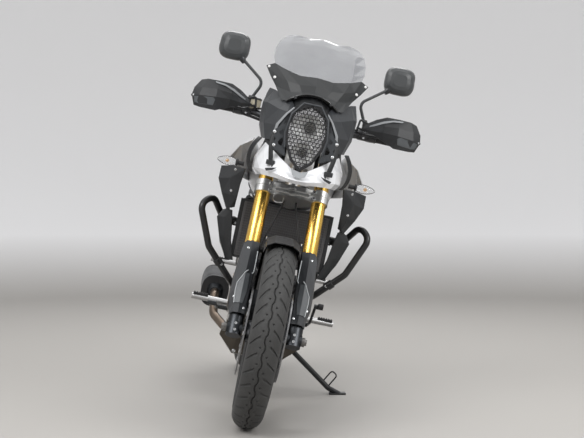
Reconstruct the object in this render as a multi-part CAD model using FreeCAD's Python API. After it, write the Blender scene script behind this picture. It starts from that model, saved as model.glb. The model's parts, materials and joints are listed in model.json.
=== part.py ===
import FreeCAD, Part
import math
import os

# Adventure motorcycle with a ninety degree twin engine, parked on its side stand.
# It is drawn upright: +X is the rider's left, +Y points to the rear, +Z is up, and the
# front axle is over the origin. The last step leans the whole machine onto its stand.

Vector = FreeCAD.Vector

# Driving sizes
wheelbase = 1555
front_radius = 329
rear_radius = 321
front_tyre_width = 110
rear_tyre_width = 150
rake_angle = 25.5
trail = 109
lean_angle = 12.03
play = 0.3
running_play = 0.05
sheet = 3

# Fork and steering
fork_spread = 105
fork_tube_radius = 27
fork_inner_radius = 21.5
lower_clamp_along = 535
clamp_thickness = 48
upper_clamp_along = 730
upper_clamp_thickness = 26
fork_top_along = 805
fork_outer_low = 290
fork_inner_low = 40
stem_radius = 16
head_tube_radius = 31
clamp_ring_wall = 6
axle_radius = 10
axle_half_length = 134

# Wheels and brakes
front_rim_radius = 241
rear_rim_radius = 216
rim_wall = 9
hub_radius = 34
front_hub_half = 52
rear_hub_half = 62
spoke_count = 10
spoke_thickness = 11
spoke_width = 22
front_disc_radius = 155
front_disc_inner = 108
front_disc_offset = 70
disc_thickness = 5
rear_disc_radius = 130
rear_disc_inner = 85
rear_disc_offset = 90
sprocket_radius = 105
sprocket_offset = 89
chain_half_width = 8
chain_half_height = 7
front_sprocket_radius = 38
front_sprocket_y = 918
front_sprocket_z = 405

# Handlebar and what it carries
bar_radius = 14
riser_height = 97.7
riser_setback = 72.2
grip_rise = 32
grip_sweep = 80
switch_length = 34
bar_inner_x = 62
bar_bend_x = 205
bar_end_x = 402
grip_radius = 17.5
grip_length = 125
bar_weight_length = 20
riser_radius = 15
riser_spread = 46

# Chassis
pivot_y = 995
pivot_z = 407
pivot_radius = 22
arm_inner_x = 101
arm_outer_x = 126
spar_half_width = 20
spar_half_height = 38
crash_bar_radius = 12.5
subframe_radius = 11
stand_radius = 11

# Engine
crank_y = 700
crank_z = 410
case_half_width = 110


def polar(radius, degrees):
    angle = math.radians(degrees)
    return radius * math.cos(angle), radius * math.sin(angle)


def blend(start, end, share):
    return start + (end - start) * share


def spot(place, size, shares):
    return Vector(*[place[i] + size[i] * shares[i] for i in range(3)])


def spots(place, size, rows):
    return [spot(place, size, row) for row in rows]


def mirrored(shape):
    return shape.mirror(Vector(0, 0, 0), Vector(1, 0, 0))


def both_sides(shape):
    return [shape, mirrored(shape)]


def fused(shapes):
    whole = shapes[0]
    if len(shapes) > 1:
        whole = shapes[0].multiFuse(shapes[1:])
    return whole.removeSplitter()


def rod(start, end, radius):
    way = end - start
    return Part.makeCylinder(radius, way.Length, start, way)


def taper(start, end, start_radius, end_radius):
    way = end - start
    return Part.makeCone(start_radius, end_radius, way.Length, start, way)


def carved(shape, *names):
    """The main piece of what is left of a shape where the named pieces pass through it."""
    for name in names:
        for solid in nodes[name]:
            if shape.BoundBox.intersect(solid.BoundBox):
                shape = shape.cut(solid)
    return max(shape.Solids, key=lambda solid: solid.Volume)


def carved_pair(shape, *names):
    return [carved(half, *names) for half in both_sides(shape)]


def cross_rod(y, z, x_from, x_to, radius):
    return rod(Vector(x_from, y, z), Vector(x_to, y, z), radius)


def box(low, high):
    size = high - low
    return Part.makeBox(size.x, size.y, size.z, low)


def bent_path(points, bend):
    """Straight runs joined by tangent arcs of the given radius."""
    edges = []
    last = points[0]
    for i in range(1, len(points) - 1):
        corner = points[i]
        into = (corner - points[i - 1]).normalize()
        out = (points[i + 1] - corner).normalize()
        turn = into.getAngle(out)
        room = min((corner - points[i - 1]).Length, (points[i + 1] - corner).Length) / 2
        setback = min(bend * math.tan(turn / 2), room * 0.98)
        radius = setback / math.tan(turn / 2)
        start = corner - into * setback
        end = corner + out * setback
        inward = (out - into).normalize()
        middle = corner + inward * (radius / math.cos(turn / 2) - radius)
        edges.append(Part.LineSegment(last, start).toShape())
        edges.append(Part.Arc(start, middle, end).toShape())
        last = end
    edges.append(Part.LineSegment(last, points[-1]).toShape())
    return Part.Wire(edges)


def tube(points, radius, bend):
    path = bent_path(points, bend)
    way = points[1] - points[0]
    profile = Part.Wire(Part.makeCircle(radius, points[0], way))
    return path.makePipeShell([profile], True, True)


def rounded_wire(points, radius):
    """Closed planar outline with every corner rounded."""
    if radius <= 0:
        return Part.makePolygon(points + [points[0]])
    edges = []
    ends = []
    count = len(points)
    for i, corner in enumerate(points):
        into = (corner - points[i - 1]).normalize()
        out = (points[(i + 1) % count] - corner).normalize()
        turn = into.getAngle(out)
        room = min((corner - points[i - 1]).Length, (points[(i + 1) % count] - corner).Length)
        setback = min(radius * math.tan(turn / 2), room * 0.45)
        depth = setback / math.tan(turn / 2) * (1 / math.cos(turn / 2) - 1)
        inward = (out - into).normalize()
        ends.append((corner - into * setback, corner + inward * depth, corner + out * setback))
    for i, (start, middle, end) in enumerate(ends):
        edges.append(Part.Arc(start, middle, end).toShape())
        following = ends[(i + 1) % count][0]
        if (following - end).Length > running_play:
            edges.append(Part.LineSegment(end, following).toShape())
    return Part.Wire(edges)


def plate(points, way, radius=0):
    return Part.Face(rounded_wire(points, radius)).extrude(way)


def side_plate(outline, x_from, x_to, radius=0):
    """Plate in the side view, from one x to the other."""
    points = [Vector(x_from, y, z) for y, z in outline]
    return plate(points, Vector(x_to - x_from, 0, 0), radius)


def turned(outline, centre):
    """Body of revolution about the cross axis through a centre; outline of (radius, x)."""
    points = [centre + Vector(x, 0, radius) for radius, x in outline]
    face = Part.Face(Part.makePolygon(points + [points[0]]))
    return face.revolve(centre, Vector(1, 0, 0), 360)


def oval_wire(centre, half_x, half_z, squareness=2.6, way=Vector(0, 1, 0), count=16):
    """Closed smooth section, between an ellipse and a rectangle, square to a direction."""
    along = Vector(way).normalize()
    across = Vector(1, 0, 0)
    upward = across.cross(along) * -1
    if abs(along.x) > 0.7:
        across = Vector(0, 1, 0)
        upward = Vector(0, 0, 1)
    points = []
    for i in range(count):
        cosine, sine = polar(1, 360 * i / count)
        a = math.copysign(abs(cosine) ** (2 / squareness), cosine) * half_x
        b = math.copysign(abs(sine) ** (2 / squareness), sine) * half_z
        points.append(centre + across * a + upward * b)
    curve = Part.BSplineCurve()
    curve.interpolate(points, PeriodicFlag=True)
    return Part.Wire(curve.toShape())


def box_wire(centre, half_x, half_z, way=Vector(0, 1, 0), corner_share=0.35):
    """Closed rounded rectangle, square to a direction in the side view's plane."""
    along = Vector(way).normalize()
    across = Vector(half_x, 0, 0)
    upward = Vector(1, 0, 0).cross(along) * half_z
    points = [centre - across - upward, centre + across - upward, centre + across + upward, centre - across + upward]
    return rounded_wire(points, min(half_x, half_z) * corner_share)


def loft(wires, ruled=False):
    return Part.makeLoft(wires, True, ruled)


def body_of_ovals(place, size, rows, squareness=2.6):
    """Loft along Y; each row holds shares of y, half width, low z and high z."""
    wires = []
    for y_share, width_share, low_share, high_share in rows:
        low = place[2] + size[2] * low_share
        high = place[2] + size[2] * high_share
        centre = Vector(place[0], place[1] + size[1] * y_share, (low + high) / 2)
        wires.append(oval_wire(centre, size[0] * width_share, (high - low) / 2, squareness))
    return loft(wires)


def faceted(rows, way):
    """Closed sheet with flat facets: rows of points, and the same rows moved inward."""
    back = [[point + (way(point) if callable(way) else way) for point in row] for row in rows]
    faces = []

    def add(a, b, c):
        if (b - a).cross(c - a).Length > running_play:
            faces.append(Part.Face(Part.makePolygon([a, b, c, a])))

    def quad(a, b, c, d):
        add(a, b, c)
        add(a, c, d)

    height = len(rows)
    width = len(rows[0])
    for layer in (rows, back):
        for i in range(height - 1):
            for j in range(width - 1):
                quad(layer[i][j], layer[i][j + 1], layer[i + 1][j + 1], layer[i + 1][j])
    rim = [(0, j) for j in range(width)]
    rim += [(i, width - 1) for i in range(1, height)]
    rim += [(height - 1, j) for j in range(width - 2, -1, -1)]
    rim += [(i, 0) for i in range(height - 2, 0, -1)]
    for k, (i, j) in enumerate(rim):
        m, n = rim[(k + 1) % len(rim)]
        quad(rows[i][j], rows[m][n], back[m][n], back[i][j])
    shell = Part.Shell(faces)
    shell.sewShape()
    solid = Part.Solid(Part.Shell(shell.Faces))
    if solid.Volume < 0:
        solid.reverse()
    return solid


def widened(rows):
    """Rows of shares from the middle outward, joined to their mirror image."""
    return [[(-x, y, z) for x, y, z in reversed(row) if x > 0] + row for row in rows]


def panel(place, size, shares, way):
    return faceted([spots(place, size, row) for row in shares], way)


def fork_point(x, along, ahead=0):
    """Point in the fork's own measures: along the legs, and ahead of them."""
    rise = math.radians(rake_angle)
    y = along * math.sin(rise) - ahead * math.cos(rise)
    z = front_radius + along * math.cos(rise) + ahead * math.sin(rise)
    return Vector(x, y, z)


fork_offset = (front_radius * math.tan(math.radians(rake_angle)) - trail) * math.cos(math.radians(rake_angle))
fork_way = Vector(0, math.sin(math.radians(rake_angle)), math.cos(math.radians(rake_angle)))
fork_ahead = Vector(0, -math.cos(math.radians(rake_angle)), math.sin(math.radians(rake_angle)))


def steer_point(along):
    return fork_point(0, along, -fork_offset)


front_axle = Vector(0, 0, front_radius)
rear_axle = Vector(0, wheelbase, rear_radius)
swing_pivot = Vector(0, pivot_y, pivot_z)
crank = Vector(0, crank_y, crank_z)
nodes = {}


# Wheels
crown_shares = (0, 0.2, 0.4, 0.6, 0.8)
rim_width_share = 0.31
spoke_root_share = 0.75
spoke_tip_share = 0.55


def tyre(centre, radius, width, rim_radius):
    """Round crown on full sidewalls down to the rim's seat."""
    crown = width / 2
    points = []
    for share in crown_shares:
        out, up = polar(crown, 90 - 90 * share)
        points.append((radius - crown + up, out))
    points.append((radius - crown * 1.15, crown * 0.99))
    points.append((blend(rim_radius, radius - crown, 0.35), crown * 0.86))
    points.append((rim_radius, crown * 0.62))
    outline = [(r, -x) for r, x in reversed(points[1:])] + points
    return turned(outline, centre)


def rim(centre, rim_radius, half_width, hub_half):
    """Cast wheel: a well rim, a hub and straight spokes."""
    seat = rim_radius - rim_wall * 0.4
    well = rim_radius - rim_wall * 2.2
    barrel = [(rim_radius, -half_width), (seat, -half_width * 0.6), (seat, half_width * 0.6), (rim_radius, half_width)]
    barrel += [(rim_radius - rim_wall, half_width), (well, half_width * 0.45)]
    barrel += [(well, -half_width * 0.45), (rim_radius - rim_wall, -half_width)]
    shapes = [turned(barrel, centre)]
    shapes.append(cross_rod(centre.y, centre.z, -hub_half, hub_half, hub_radius))
    reach = rim_radius - rim_wall * 2
    for i in range(spoke_count):
        aim = 360 * (i + 0.5) / spoke_count
        start = centre + Vector(0, *polar(hub_radius * 0.8, aim))
        end = centre + Vector(0, *polar(reach, aim))
        near = oval_wire(start, spoke_width * spoke_root_share, spoke_thickness, 3, end - start, 12)
        far = oval_wire(end, spoke_width * spoke_tip_share, spoke_thickness * 0.7, 3, end - start, 12)
        shapes.append(loft([near, far]))
    whole = fused(shapes)
    return whole.cut(cross_rod(centre.y, centre.z, -hub_half, hub_half, axle_radius + running_play))


def disc(centre, x, radius, inner, hub_half):
    """Ring on a dished carrier that bolts to the hub's end."""
    side = math.copysign(1, x)
    near, far = x - disc_thickness / 2 * side, x + disc_thickness / 2 * side
    ring = turned([(inner, near), (radius, near), (radius, far), (inner, far)], centre)
    seat = hub_half * side
    cap = seat + disc_thickness * side
    carrier = turned([(hub_radius * 0.6, seat), (hub_radius * 1.2, seat), (inner, near), (inner, far),
                      (hub_radius * 1.1, cap), (hub_radius * 0.6, cap)], centre)
    return ring.fuse(carrier).removeSplitter()


def make_wheels():
    nodes["front_tyre"] = [tyre(front_axle, front_radius, front_tyre_width, front_rim_radius)]
    nodes["front_rim"] = [rim(front_axle, front_rim_radius, front_tyre_width * rim_width_share, front_hub_half)]
    offsets = (-front_disc_offset, front_disc_offset)
    nodes["front_discs"] = [disc(front_axle, x, front_disc_radius, front_disc_inner, front_hub_half) for x in offsets]
    nodes["rear_tyre"] = [tyre(rear_axle, rear_radius, rear_tyre_width, rear_rim_radius)]
    nodes["rear_rim"] = [rim(rear_axle, rear_rim_radius, rear_tyre_width * rim_width_share, rear_hub_half)]
    brake = disc(rear_axle, -rear_disc_offset, rear_disc_radius, rear_disc_inner, rear_hub_half)
    sprocket = disc(rear_axle, sprocket_offset, sprocket_radius, sprocket_radius * 0.8, rear_hub_half)
    nodes["rear_disc_and_sprocket"] = [brake, sprocket]


# Fork and its clamps
ring_radius = fork_tube_radius + clamp_ring_wall
clamp_shares = [(-1, 0.35), (-0.45, 0.75), (0.45, 0.75), (1, 0.35), (1, -0.35), (0.5, -1.2), (0.2, -1.9),
                (-0.2, -1.9), (-0.5, -1.2), (-1, -0.35)]
lug_boss_radius = 22
axle_head = 16


def clamp(along, thickness):
    """Plate round both fork tubes, reaching back to the steering stem."""
    points = [fork_point(x * fork_spread, along, ahead * ring_radius) for x, ahead in clamp_shares]
    shapes = [plate(points, fork_way * thickness, ring_radius * 0.3)]
    for side in (-1, 1):
        start = fork_point(side * fork_spread, along)
        shapes.append(rod(start, start + fork_way * thickness, ring_radius))
    shapes.append(rod(steer_point(along), steer_point(along + thickness), head_tube_radius))
    whole = fused(shapes)
    for side in (-1, 1):
        start = fork_point(side * fork_spread, along - clamp_ring_wall)
        whole = whole.cut(rod(start, start + fork_way * (thickness + clamp_ring_wall * 2), fork_tube_radius))
    return whole


def make_fork():
    stem = rod(steer_point(lower_clamp_along), steer_point(upper_clamp_along + upper_clamp_thickness), stem_radius)
    lower = clamp(lower_clamp_along, clamp_thickness)
    upper = clamp(upper_clamp_along, upper_clamp_thickness)
    nodes["triple_clamps"] = [fused([lower, upper, stem])]
    outers = []
    legs = []
    for side in (-1, 1):
        x = side * fork_spread
        outer = rod(fork_point(x, fork_outer_low), fork_point(x, fork_top_along), fork_tube_radius)
        sunk = fork_outer_low + fork_tube_radius
        outers.append(outer.cut(rod(fork_point(x, fork_outer_low), fork_point(x, sunk), fork_inner_radius)))
        inner = rod(fork_point(x, fork_inner_low), fork_point(x, sunk), fork_inner_radius)
        lug = rod(fork_point(x, -fork_tube_radius), fork_point(x, fork_inner_low + fork_tube_radius), fork_tube_radius)
        boss = cross_rod(0, front_radius, x - side * fork_tube_radius, x + side * fork_tube_radius, lug_boss_radius)
        leg = fused([inner, lug, boss])
        legs.append(leg.cut(cross_rod(0, front_radius, -axle_half_length, axle_half_length, axle_radius)))
    nodes["fork_outer_tubes"] = outers
    nodes["fork_lower_legs"] = legs
    spindle = cross_rod(0, front_radius, -axle_half_length, axle_half_length, axle_radius)
    cap = cross_rod(0, front_radius, axle_half_length, axle_half_length + axle_radius, axle_head)
    nodes["front_axle"] = [fused([spindle] + both_sides(cap))]


# Fork guards: one faceted shell in front of each leg
guard_top = 322
guard_low = 45
guard_reach = 42
guard_front = 46
guard_shares = [
    (1.0, [(-0.74, 0.1), (-0.64, 0.75), (0.0, 0.95), (0.45, 0.8), (0.74, 0.0)]),
    (0.92, [(-0.74, 0.1), (-0.64, 0.85), (0.0, 1.05), (0.70, 0.85), (0.80, -0.2)]),
    (0.52, [(-0.68, 0.2), (-0.60, 0.85), (0.05, 1.10), (0.80, 0.80), (1.00, -0.3)]),
    (0.28, [(-0.64, 0.66), (-0.56, 0.88), (0.05, 1.10), (0.75, 0.80), (1.00, -0.3)]),
    (0.10, [(-0.64, 0.66), (-0.52, 0.84), (0.0, 1.00), (0.50, 0.80), (0.74, -0.2)]),
    (0.0, [(-0.64, 0.66), (-0.50, 0.80), (0.0, 0.92), (0.45, 0.76), (0.70, 0.1)]),
]


guard_stud_shares = (0.2, 0.75)
guard_stud_radius = 5


def make_fork_guards():
    rows = []
    for along_share, row in guard_shares:
        along = blend(guard_low, guard_top, along_share)
        rows.append([fork_point(fork_spread + x * guard_reach, along, ahead * guard_front) for x, ahead in row])
    shapes = [faceted(rows, fork_ahead * -sheet)]
    for share in guard_stud_shares:
        along = blend(guard_low, guard_top, share)
        shapes.append(rod(fork_point(fork_spread, along), fork_point(fork_spread, along, guard_front), guard_stud_radius))
    nodes["fork_guards"] = carved_pair(fused(shapes), "fork_lower_legs", "fork_outer_tubes")


# Front fender: an arched band over the tyre
fender_radius = 345
fender_half_width = 64
fender_drop = 46
fender_start = 68
fender_end = 176
fender_shares = ((-1, 1), (-0.86, 0.35), (-0.5, 0.04), (0, 0), (0.5, 0.04), (0.86, 0.35), (1, 1))
fender_steps = 8
fender_stay_radius = 9


def make_front_fender():
    wires = []
    for i in range(fender_steps + 1):
        ahead, up = polar(1, blend(fender_start, fender_end, i / fender_steps))
        out = Vector(0, -ahead, up)
        section = []
        for x_share, drop_share in fender_shares:
            reach = out * (fender_radius + sheet - drop_share * fender_drop)
            section.append(front_axle + Vector(x_share * fender_half_width, 0, 0) + reach)
        inner = [point - out * sheet for point in reversed(section)]
        wires.append(Part.makePolygon(section + inner + [section[0]]))
    band = loft(wires, True)
    stays = []
    for side in (-1, 1):
        along = fork_outer_low + fork_tube_radius
        low = fork_point(side * (fork_spread - fork_inner_radius), along, -fender_stay_radius * 1.5)
        high = fork_point(side * fender_half_width * 0.9, along, -fender_stay_radius * 1.5)
        stays.append(rod(low, high, fender_stay_radius))
    nodes["front_fender"] = [carved(fused([band] + stays), "fork_outer_tubes")]


# Brake calipers
caliper_inner = 98
caliper_outer = 168
caliper_half_angle = 22
caliper_aim = 38
rear_caliper_aim = 125
caliper_half_width = 24
slot_half = 6


def caliper(centre, x, inner, outer, aim, half_width):
    low, high = aim - caliper_half_angle, aim + caliper_half_angle
    points = []
    for radius, angles in ((inner, (low, aim, high)), (outer, (high, aim, low))):
        for angle in angles:
            points.append(centre + Vector(x - half_width, *polar(radius, angle)))
    body = plate(points, Vector(half_width * 2, 0, 0), half_width * 0.3)
    slot = cross_rod(centre.y, centre.z, x - slot_half, x + slot_half, outer - half_width * 0.35)
    return body.cut(slot)


def make_front_calipers():
    front = caliper(front_axle, front_disc_offset, caliper_inner, caliper_outer, caliper_aim, caliper_half_width)
    arm_start = fork_point(fork_spread, guard_top * 0.35, -fork_tube_radius * 0.9)
    back, up = polar(caliper_outer - caliper_half_width, caliper_aim)
    arm_end = front_axle + Vector(front_disc_offset + caliper_half_width, back, up)
    arm = rod(arm_start, arm_end, fender_stay_radius)
    nodes["front_calipers"] = carved_pair(fused([front, arm]), "fork_lower_legs")


def rear_caliper():
    rear = caliper(rear_axle, -rear_disc_offset, rear_disc_inner + play * 10, caliper_outer * 0.85, rear_caliper_aim,
                   caliper_half_width * 0.62)
    mount = rear_axle + Vector(-rear_disc_offset - fender_stay_radius * 1.1, *polar(caliper_inner * 1.1, rear_caliper_aim))
    foot = Vector(-(arm_inner_x + arm_outer_x) / 2, mount.y, blend(pivot_z, rear_radius, 0.88))
    return fused([rear, rod(mount, foot, fender_stay_radius * 0.55)])


# Handlebar, grips, levers
bar_rise_share = 0.9
bar_run_share = 0.45
lever_radius = 5
lever_gap = 46
perch_radius = 21
perch_length = 34


def bar_points(side=1):
    seat = fork_point(0, upper_clamp_along + upper_clamp_thickness, -fork_offset * 0.7)
    centre = seat + Vector(0, riser_setback, riser_height)
    grip = centre + Vector(side * bar_end_x, grip_sweep, grip_rise)
    bend = Vector(side * bar_bend_x, blend(centre.y, grip.y, bar_run_share), blend(centre.z, grip.z, bar_rise_share))
    return [centre, centre + Vector(side * bar_inner_x, 0, 0), bend, grip]


def perch_centre(side=1):
    """Where the lever's clamp sits on the bar, inboard of the switches."""
    points = bar_points(side)
    way = (points[3] - points[2]).normalize()
    return points[3] - way * (grip_length + switch_length + perch_length / 2), way


def make_handlebar():
    shapes = both_sides(tube(bar_points(), bar_radius, bar_radius * 4))
    centre = bar_points()[0]
    for side in (-1, 1):
        low = fork_point(side * riser_spread, upper_clamp_along + upper_clamp_thickness, -fork_offset * 0.7)
        shapes.append(rod(low, centre + Vector(side * riser_spread, 0, 0), riser_radius))
    nodes["handlebar"] = [carved(fused(shapes), "triple_clamps")]
    grips = []
    levers = []
    ahead = Vector(0, -1, 0)
    for side in (-1, 1):
        points = bar_points(side)
        way = (points[3] - points[2]).normalize()
        start = points[3] - way * grip_length
        sleeve = rod(start, points[3] + way * bar_weight_length, grip_radius)
        grips.append(sleeve.cut(rod(start, points[3], bar_radius)))
        middle = perch_centre(side)[0]
        half = way * perch_length / 2
        perch = rod(middle - half, middle + half, perch_radius)
        knuckle = middle + ahead * lever_gap * 0.6
        blade = tube([middle + ahead * bar_radius * 1.2, knuckle, start + way * grip_length * 0.1 + ahead * lever_gap,
                      points[3] + ahead * lever_gap], lever_radius, lever_radius * 4)
        levers.append(carved(fused([perch, blade]), "handlebar"))
    nodes["grips"] = grips
    nodes["levers"] = levers


# Hand guards
hand_corner = Vector(-188, -132, -37)
hand_size = (237, 42, 116)
hand_wall = 4
hand_shares = [
    [(0.89, 0.929, 0.931), (0.785, 0.643, 0.991), (0.599, 0.548, 1), (0.384, 0.595, 0.991),
     (0.228, 0.762, 0.853), (0.11, 0.929, 0.698)],
    [(0.979, 0.833, 0.638), (0.848, 0.333, 0.664), (0.599, 0.143, 0.698), (0.363, 0.286, 0.664),
     (0.203, 0.595, 0.578), (0.051, 0.905, 0.526)],
    [(1, 0.833, 0.371), (0.869, 0.238, 0.388), (0.599, 0, 0.431), (0.363, 0.238, 0.448),
     (0.186, 0.595, 0.44), (0.008, 0.952, 0.474)],
    [(0.937, 0.929, 0.052), (0.827, 0.452, 0.009), (0.574, 0.262, 0), (0.384, 0.452, 0.181),
     (0.203, 0.69, 0.336), (0, 1, 0.405)],
]
hand_frame_shares = [(0.11, 1.1, 0.66), (-0.03, 1.12, 0.75), (-0.05, 1.13, 0.47), (0.02, 1.08, 0.43)]
hand_tip_share = (0.99, 0.833, 0.371)
hand_bolt_radius = 5


def make_hand_guards():
    points = bar_points()
    place = points[3] + hand_corner
    rows = [spots(place, hand_size, row) for row in hand_shares]
    shield = faceted(rows, Vector(0, hand_wall, 0))
    way = (points[3] - points[2]).normalize()
    start = points[3] + way * (bar_weight_length + play)
    corner = spot(place, hand_size, hand_tip_share) + Vector(0, hand_wall, 0)
    strap = tube([start, start + way * hand_bolt_radius * 2, corner], hand_bolt_radius, hand_bolt_radius)
    frame = tube(spots(place, hand_size, hand_frame_shares), hand_bolt_radius * 0.8, hand_bolt_radius)
    inner = spot(place, hand_size, hand_frame_shares[2])
    arm = rod(inner, points[2], hand_bolt_radius)
    nodes["hand_guards"] = carved_pair(fused([shield, strap, frame, arm]), "handlebar", "levers")


# Mirrors
mirror_reach = Vector(101, 3.4, 220)
mirror_size = (120, 46, 110)
mirror_stalk_radius = 6
mirror_section_shares = ((-1, 0.42), (-0.86, 0.66), (-0.5, 0.87), (0, 0.97), (0.6, 1.0), (1, 0.97))
mirror_knee = Vector(-38, -16, 99)
mirror_root_share = (-0.6, 0, -0.74)


def make_mirrors():
    middle, way = perch_centre()
    foot = middle + Vector(0, 0, perch_radius * 0.9)
    centre = foot + mirror_reach
    half = [length / 2 for length in mirror_size]
    wires = []
    for y_share, scale_share in mirror_section_shares:
        section = centre + Vector(0, half[1] * y_share, 0)
        wires.append(oval_wire(section, half[0] * scale_share, half[2] * scale_share, 3.2))
    root = spot(centre, half, mirror_root_share)
    stalk = tube([foot, foot + Vector(0, 0, perch_radius), foot + mirror_knee, root], mirror_stalk_radius,
                 mirror_stalk_radius * 5)
    nodes["mirrors"] = carved_pair(fused([loft(wires, True), stalk]), "levers", "handlebar")


def make_steering():
    make_fork()
    make_fork_guards()
    make_front_fender()
    make_front_calipers()
    make_handlebar()
    make_hand_guards()
    make_mirrors()


# Main frame: head tube, two cast spars and the pivot plates
frame_half_width = 128
spar_shares = [(0.34, 0.0, 0.0, 0.8), (0.88, 0.20, -0.12, 1.0), (1.0, 0.52, -0.45, 1.0), (1.05, 0.84, -0.82, 0.6)]
bracket_shares = [(0.88, 0.40), (0.95, 0.30), (1.03, 0.16), (1.045, -0.14), (1.01, -0.36), (0.95, -0.36), (0.93, -0.1),
                  (0.85, 0.20)]
spar_slope = -0.8
plate_thickness = 16
stem_play = 0.05
pivot_bolt_radius = 10
pivot_bolt_half = arm_outer_x + play + plate_thickness


def make_frame():
    low = steer_point(lower_clamp_along + clamp_thickness + play)
    high = steer_point(upper_clamp_along - play)
    start = (low + high) * 0.5
    fall = start.z - pivot_z
    run = pivot_y - start.y
    wires = []
    for x_share, y_share, z_share, width_share in spar_shares:
        centre = Vector(x_share * frame_half_width, start.y + run * y_share, start.z + fall * z_share)
        wires.append(box_wire(centre, spar_half_width * width_share, spar_half_height, Vector(0, 1, spar_slope)))
    spar = loft(wires, True)
    gusset = box(Vector(-frame_half_width * 0.34, start.y + head_tube_radius * 0.5, start.z - spar_half_height),
                 Vector(frame_half_width * 0.34, start.y + head_tube_radius * 2, start.z + spar_half_height))
    outline = [(pivot_y * y_share, pivot_z * (1 + z_share)) for y_share, z_share in bracket_shares]
    inner = arm_outer_x + play
    bracket = side_plate(outline, inner, inner + plate_thickness, plate_thickness)
    whole = fused([rod(low, high, head_tube_radius), gusset] + both_sides(spar) + both_sides(bracket))
    bolt_room = cross_rod(pivot_y, pivot_z, -pivot_bolt_half, pivot_bolt_half, pivot_bolt_radius)
    stem_room = rod(steer_point(lower_clamp_along), steer_point(fork_top_along), stem_radius + stem_play)
    nodes["main_frame"] = [whole.cut(stem_room).cut(bolt_room)]


# Engine: cases, the two cylinders, side covers and the airbox between them
case_shares = [(-0.70, 0.50), (-0.55, 0.80), (-0.05, 0.50), (0.55, 0.90), (0.78, 0.80), (0.78, -0.85), (0.30, -1.0),
               (-0.45, -1.0), (-0.70, -0.5)]
case_length = 215
case_height = 125
gearbox_half_width = 70
gearbox_shares = [(0.70, 0.55), (0.95, 0.45), (1.10, 0.10), (1.05, -0.50), (0.70, -0.70)]
cylinder_lean = (-58, 32)
cylinder_reach = (300, 345)
cylinder_start = 105
barrel_half = 64
head_half_width = 86
head_half_depth = 60
cylinder_shares = ((0.0, 1.0, 1.0), (0.45, 1.0, 1.0), (0.50, 1.14, 0.98), (0.86, 1.30, 0.94), (1.0, 1.12, 0.72))
clutch_radius = 92
alternator_radius = 84
cover_depth = 40
filter_radius = 33
filter_length = 72
filter_shares = (0.42, -0.6, -0.45)
airbox_place = (0, 560, 640)
airbox_size = (92, 220, 148)


def make_engine():
    cases = side_plate([(crank_y + case_length * y, crank_z + case_height * z) for y, z in case_shares],
                       -case_half_width, case_half_width, case_height * 0.2)
    gearbox = side_plate([(crank_y + case_length * y, crank_z + case_height * z) for y, z in gearbox_shares],
                         -gearbox_half_width, gearbox_half_width, case_height * 0.1)
    sprocket = rod(Vector(gearbox_half_width * 0.9, front_sprocket_y, front_sprocket_z),
                   Vector(sprocket_offset + chain_half_width, front_sprocket_y, front_sprocket_z),
                   front_sprocket_radius - chain_half_height)
    cylinders = []
    for lean, reach in zip(cylinder_lean, cylinder_reach):
        way = Vector(0, *polar(1, 90 - lean))
        wires = []
        for share, width_share, depth_share in cylinder_shares:
            centre = crank + way * blend(cylinder_start, reach, share)
            wires.append(box_wire(centre, barrel_half * width_share, barrel_half * depth_share, way))
        cylinders.append(loft(wires, True).cut(cases))
    nodes["engine_cylinders"] = cylinders
    filter_seat = spot((0, crank_y, crank_z), (case_half_width, case_length, case_height), filter_shares)
    covers = [cases, gearbox, sprocket, rod(filter_seat, filter_seat - Vector(0, filter_length, 0), filter_radius)]
    for side, shift, radius in ((1, -0.12, alternator_radius), (-1, 0.16, clutch_radius)):
        base = crank + Vector(side * case_half_width, case_length * shift, 0)
        way = Vector(side, 0, 0)
        drum = rod(base, base + way * cover_depth * 0.6, radius)
        crown = taper(base + way * cover_depth * 0.6, base + way * cover_depth, radius, radius * 0.82)
        covers += [drum, crown]
    nodes["engine_cases"] = [fused(covers)]
    core = box(spot(airbox_place, airbox_size, (-1, 0, 0)), spot(airbox_place, airbox_size, (1, 1, 1)))
    for cylinder in cylinders:
        core = core.cut(cylinder)
    nodes["airbox"] = [core]


# Radiator with its side tanks and stays
radiator_place = (0, 358, 560)
radiator_size = (180, 36, 225)
radiator_stay_radius = 7
fin_count = 24
fin_share = 0.012


def make_radiator():
    core = box(spot(radiator_place, radiator_size, (-0.86, 0.15, 0.02)), spot(radiator_place, radiator_size, (0.86, 0.85, 0.98)))
    shapes = [core]
    for side in (-1, 1):
        low = spot(radiator_place, radiator_size, (0.86, 0, 0))
        high = spot(radiator_place, radiator_size, (1, 1, 1))
        tank = box(low, high)
        shapes.append(tank if side > 0 else mirrored(tank))
        start = spot(radiator_place, radiator_size, (side * 0.6, 0.5, 0.95))
        shapes.append(rod(start, start + Vector(0, radiator_size[1] * 2.4, radiator_size[2] * 0.36), radiator_stay_radius))
    for i in range(fin_count):
        z_share = (i + 0.75) / (fin_count + 1)
        shapes.append(box(spot(radiator_place, radiator_size, (-0.9, 0.03, z_share)),
                          spot(radiator_place, radiator_size, (0.9, 0.5, z_share + fin_share))))
    nodes["radiator"] = [carved(fused(shapes), "main_frame")]


# Exhaust
header_radius = 19
header_bend = 52
header_route = [(-30, 462, 535), (-32, 426, 500), (-34, 426, 320), (-40, 490, 228), (-60, 900, 228), (-150, 985, 234),
                (-206, 1064, 270), (-219, 1115, 345), (-222, 1172, 361)]
muffler_start = (-222, 1160, 360)
muffler_end = (-244, 1630, 392)
muffler_half_width = 61
muffler_half_height = 70
muffler_shares = ((0, 0.36, 0.30), (0.10, 0.80, 0.78), (0.25, 1.0, 1.0), (0.90, 1.0, 1.0), (1.0, 0.80, 0.80))


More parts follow.
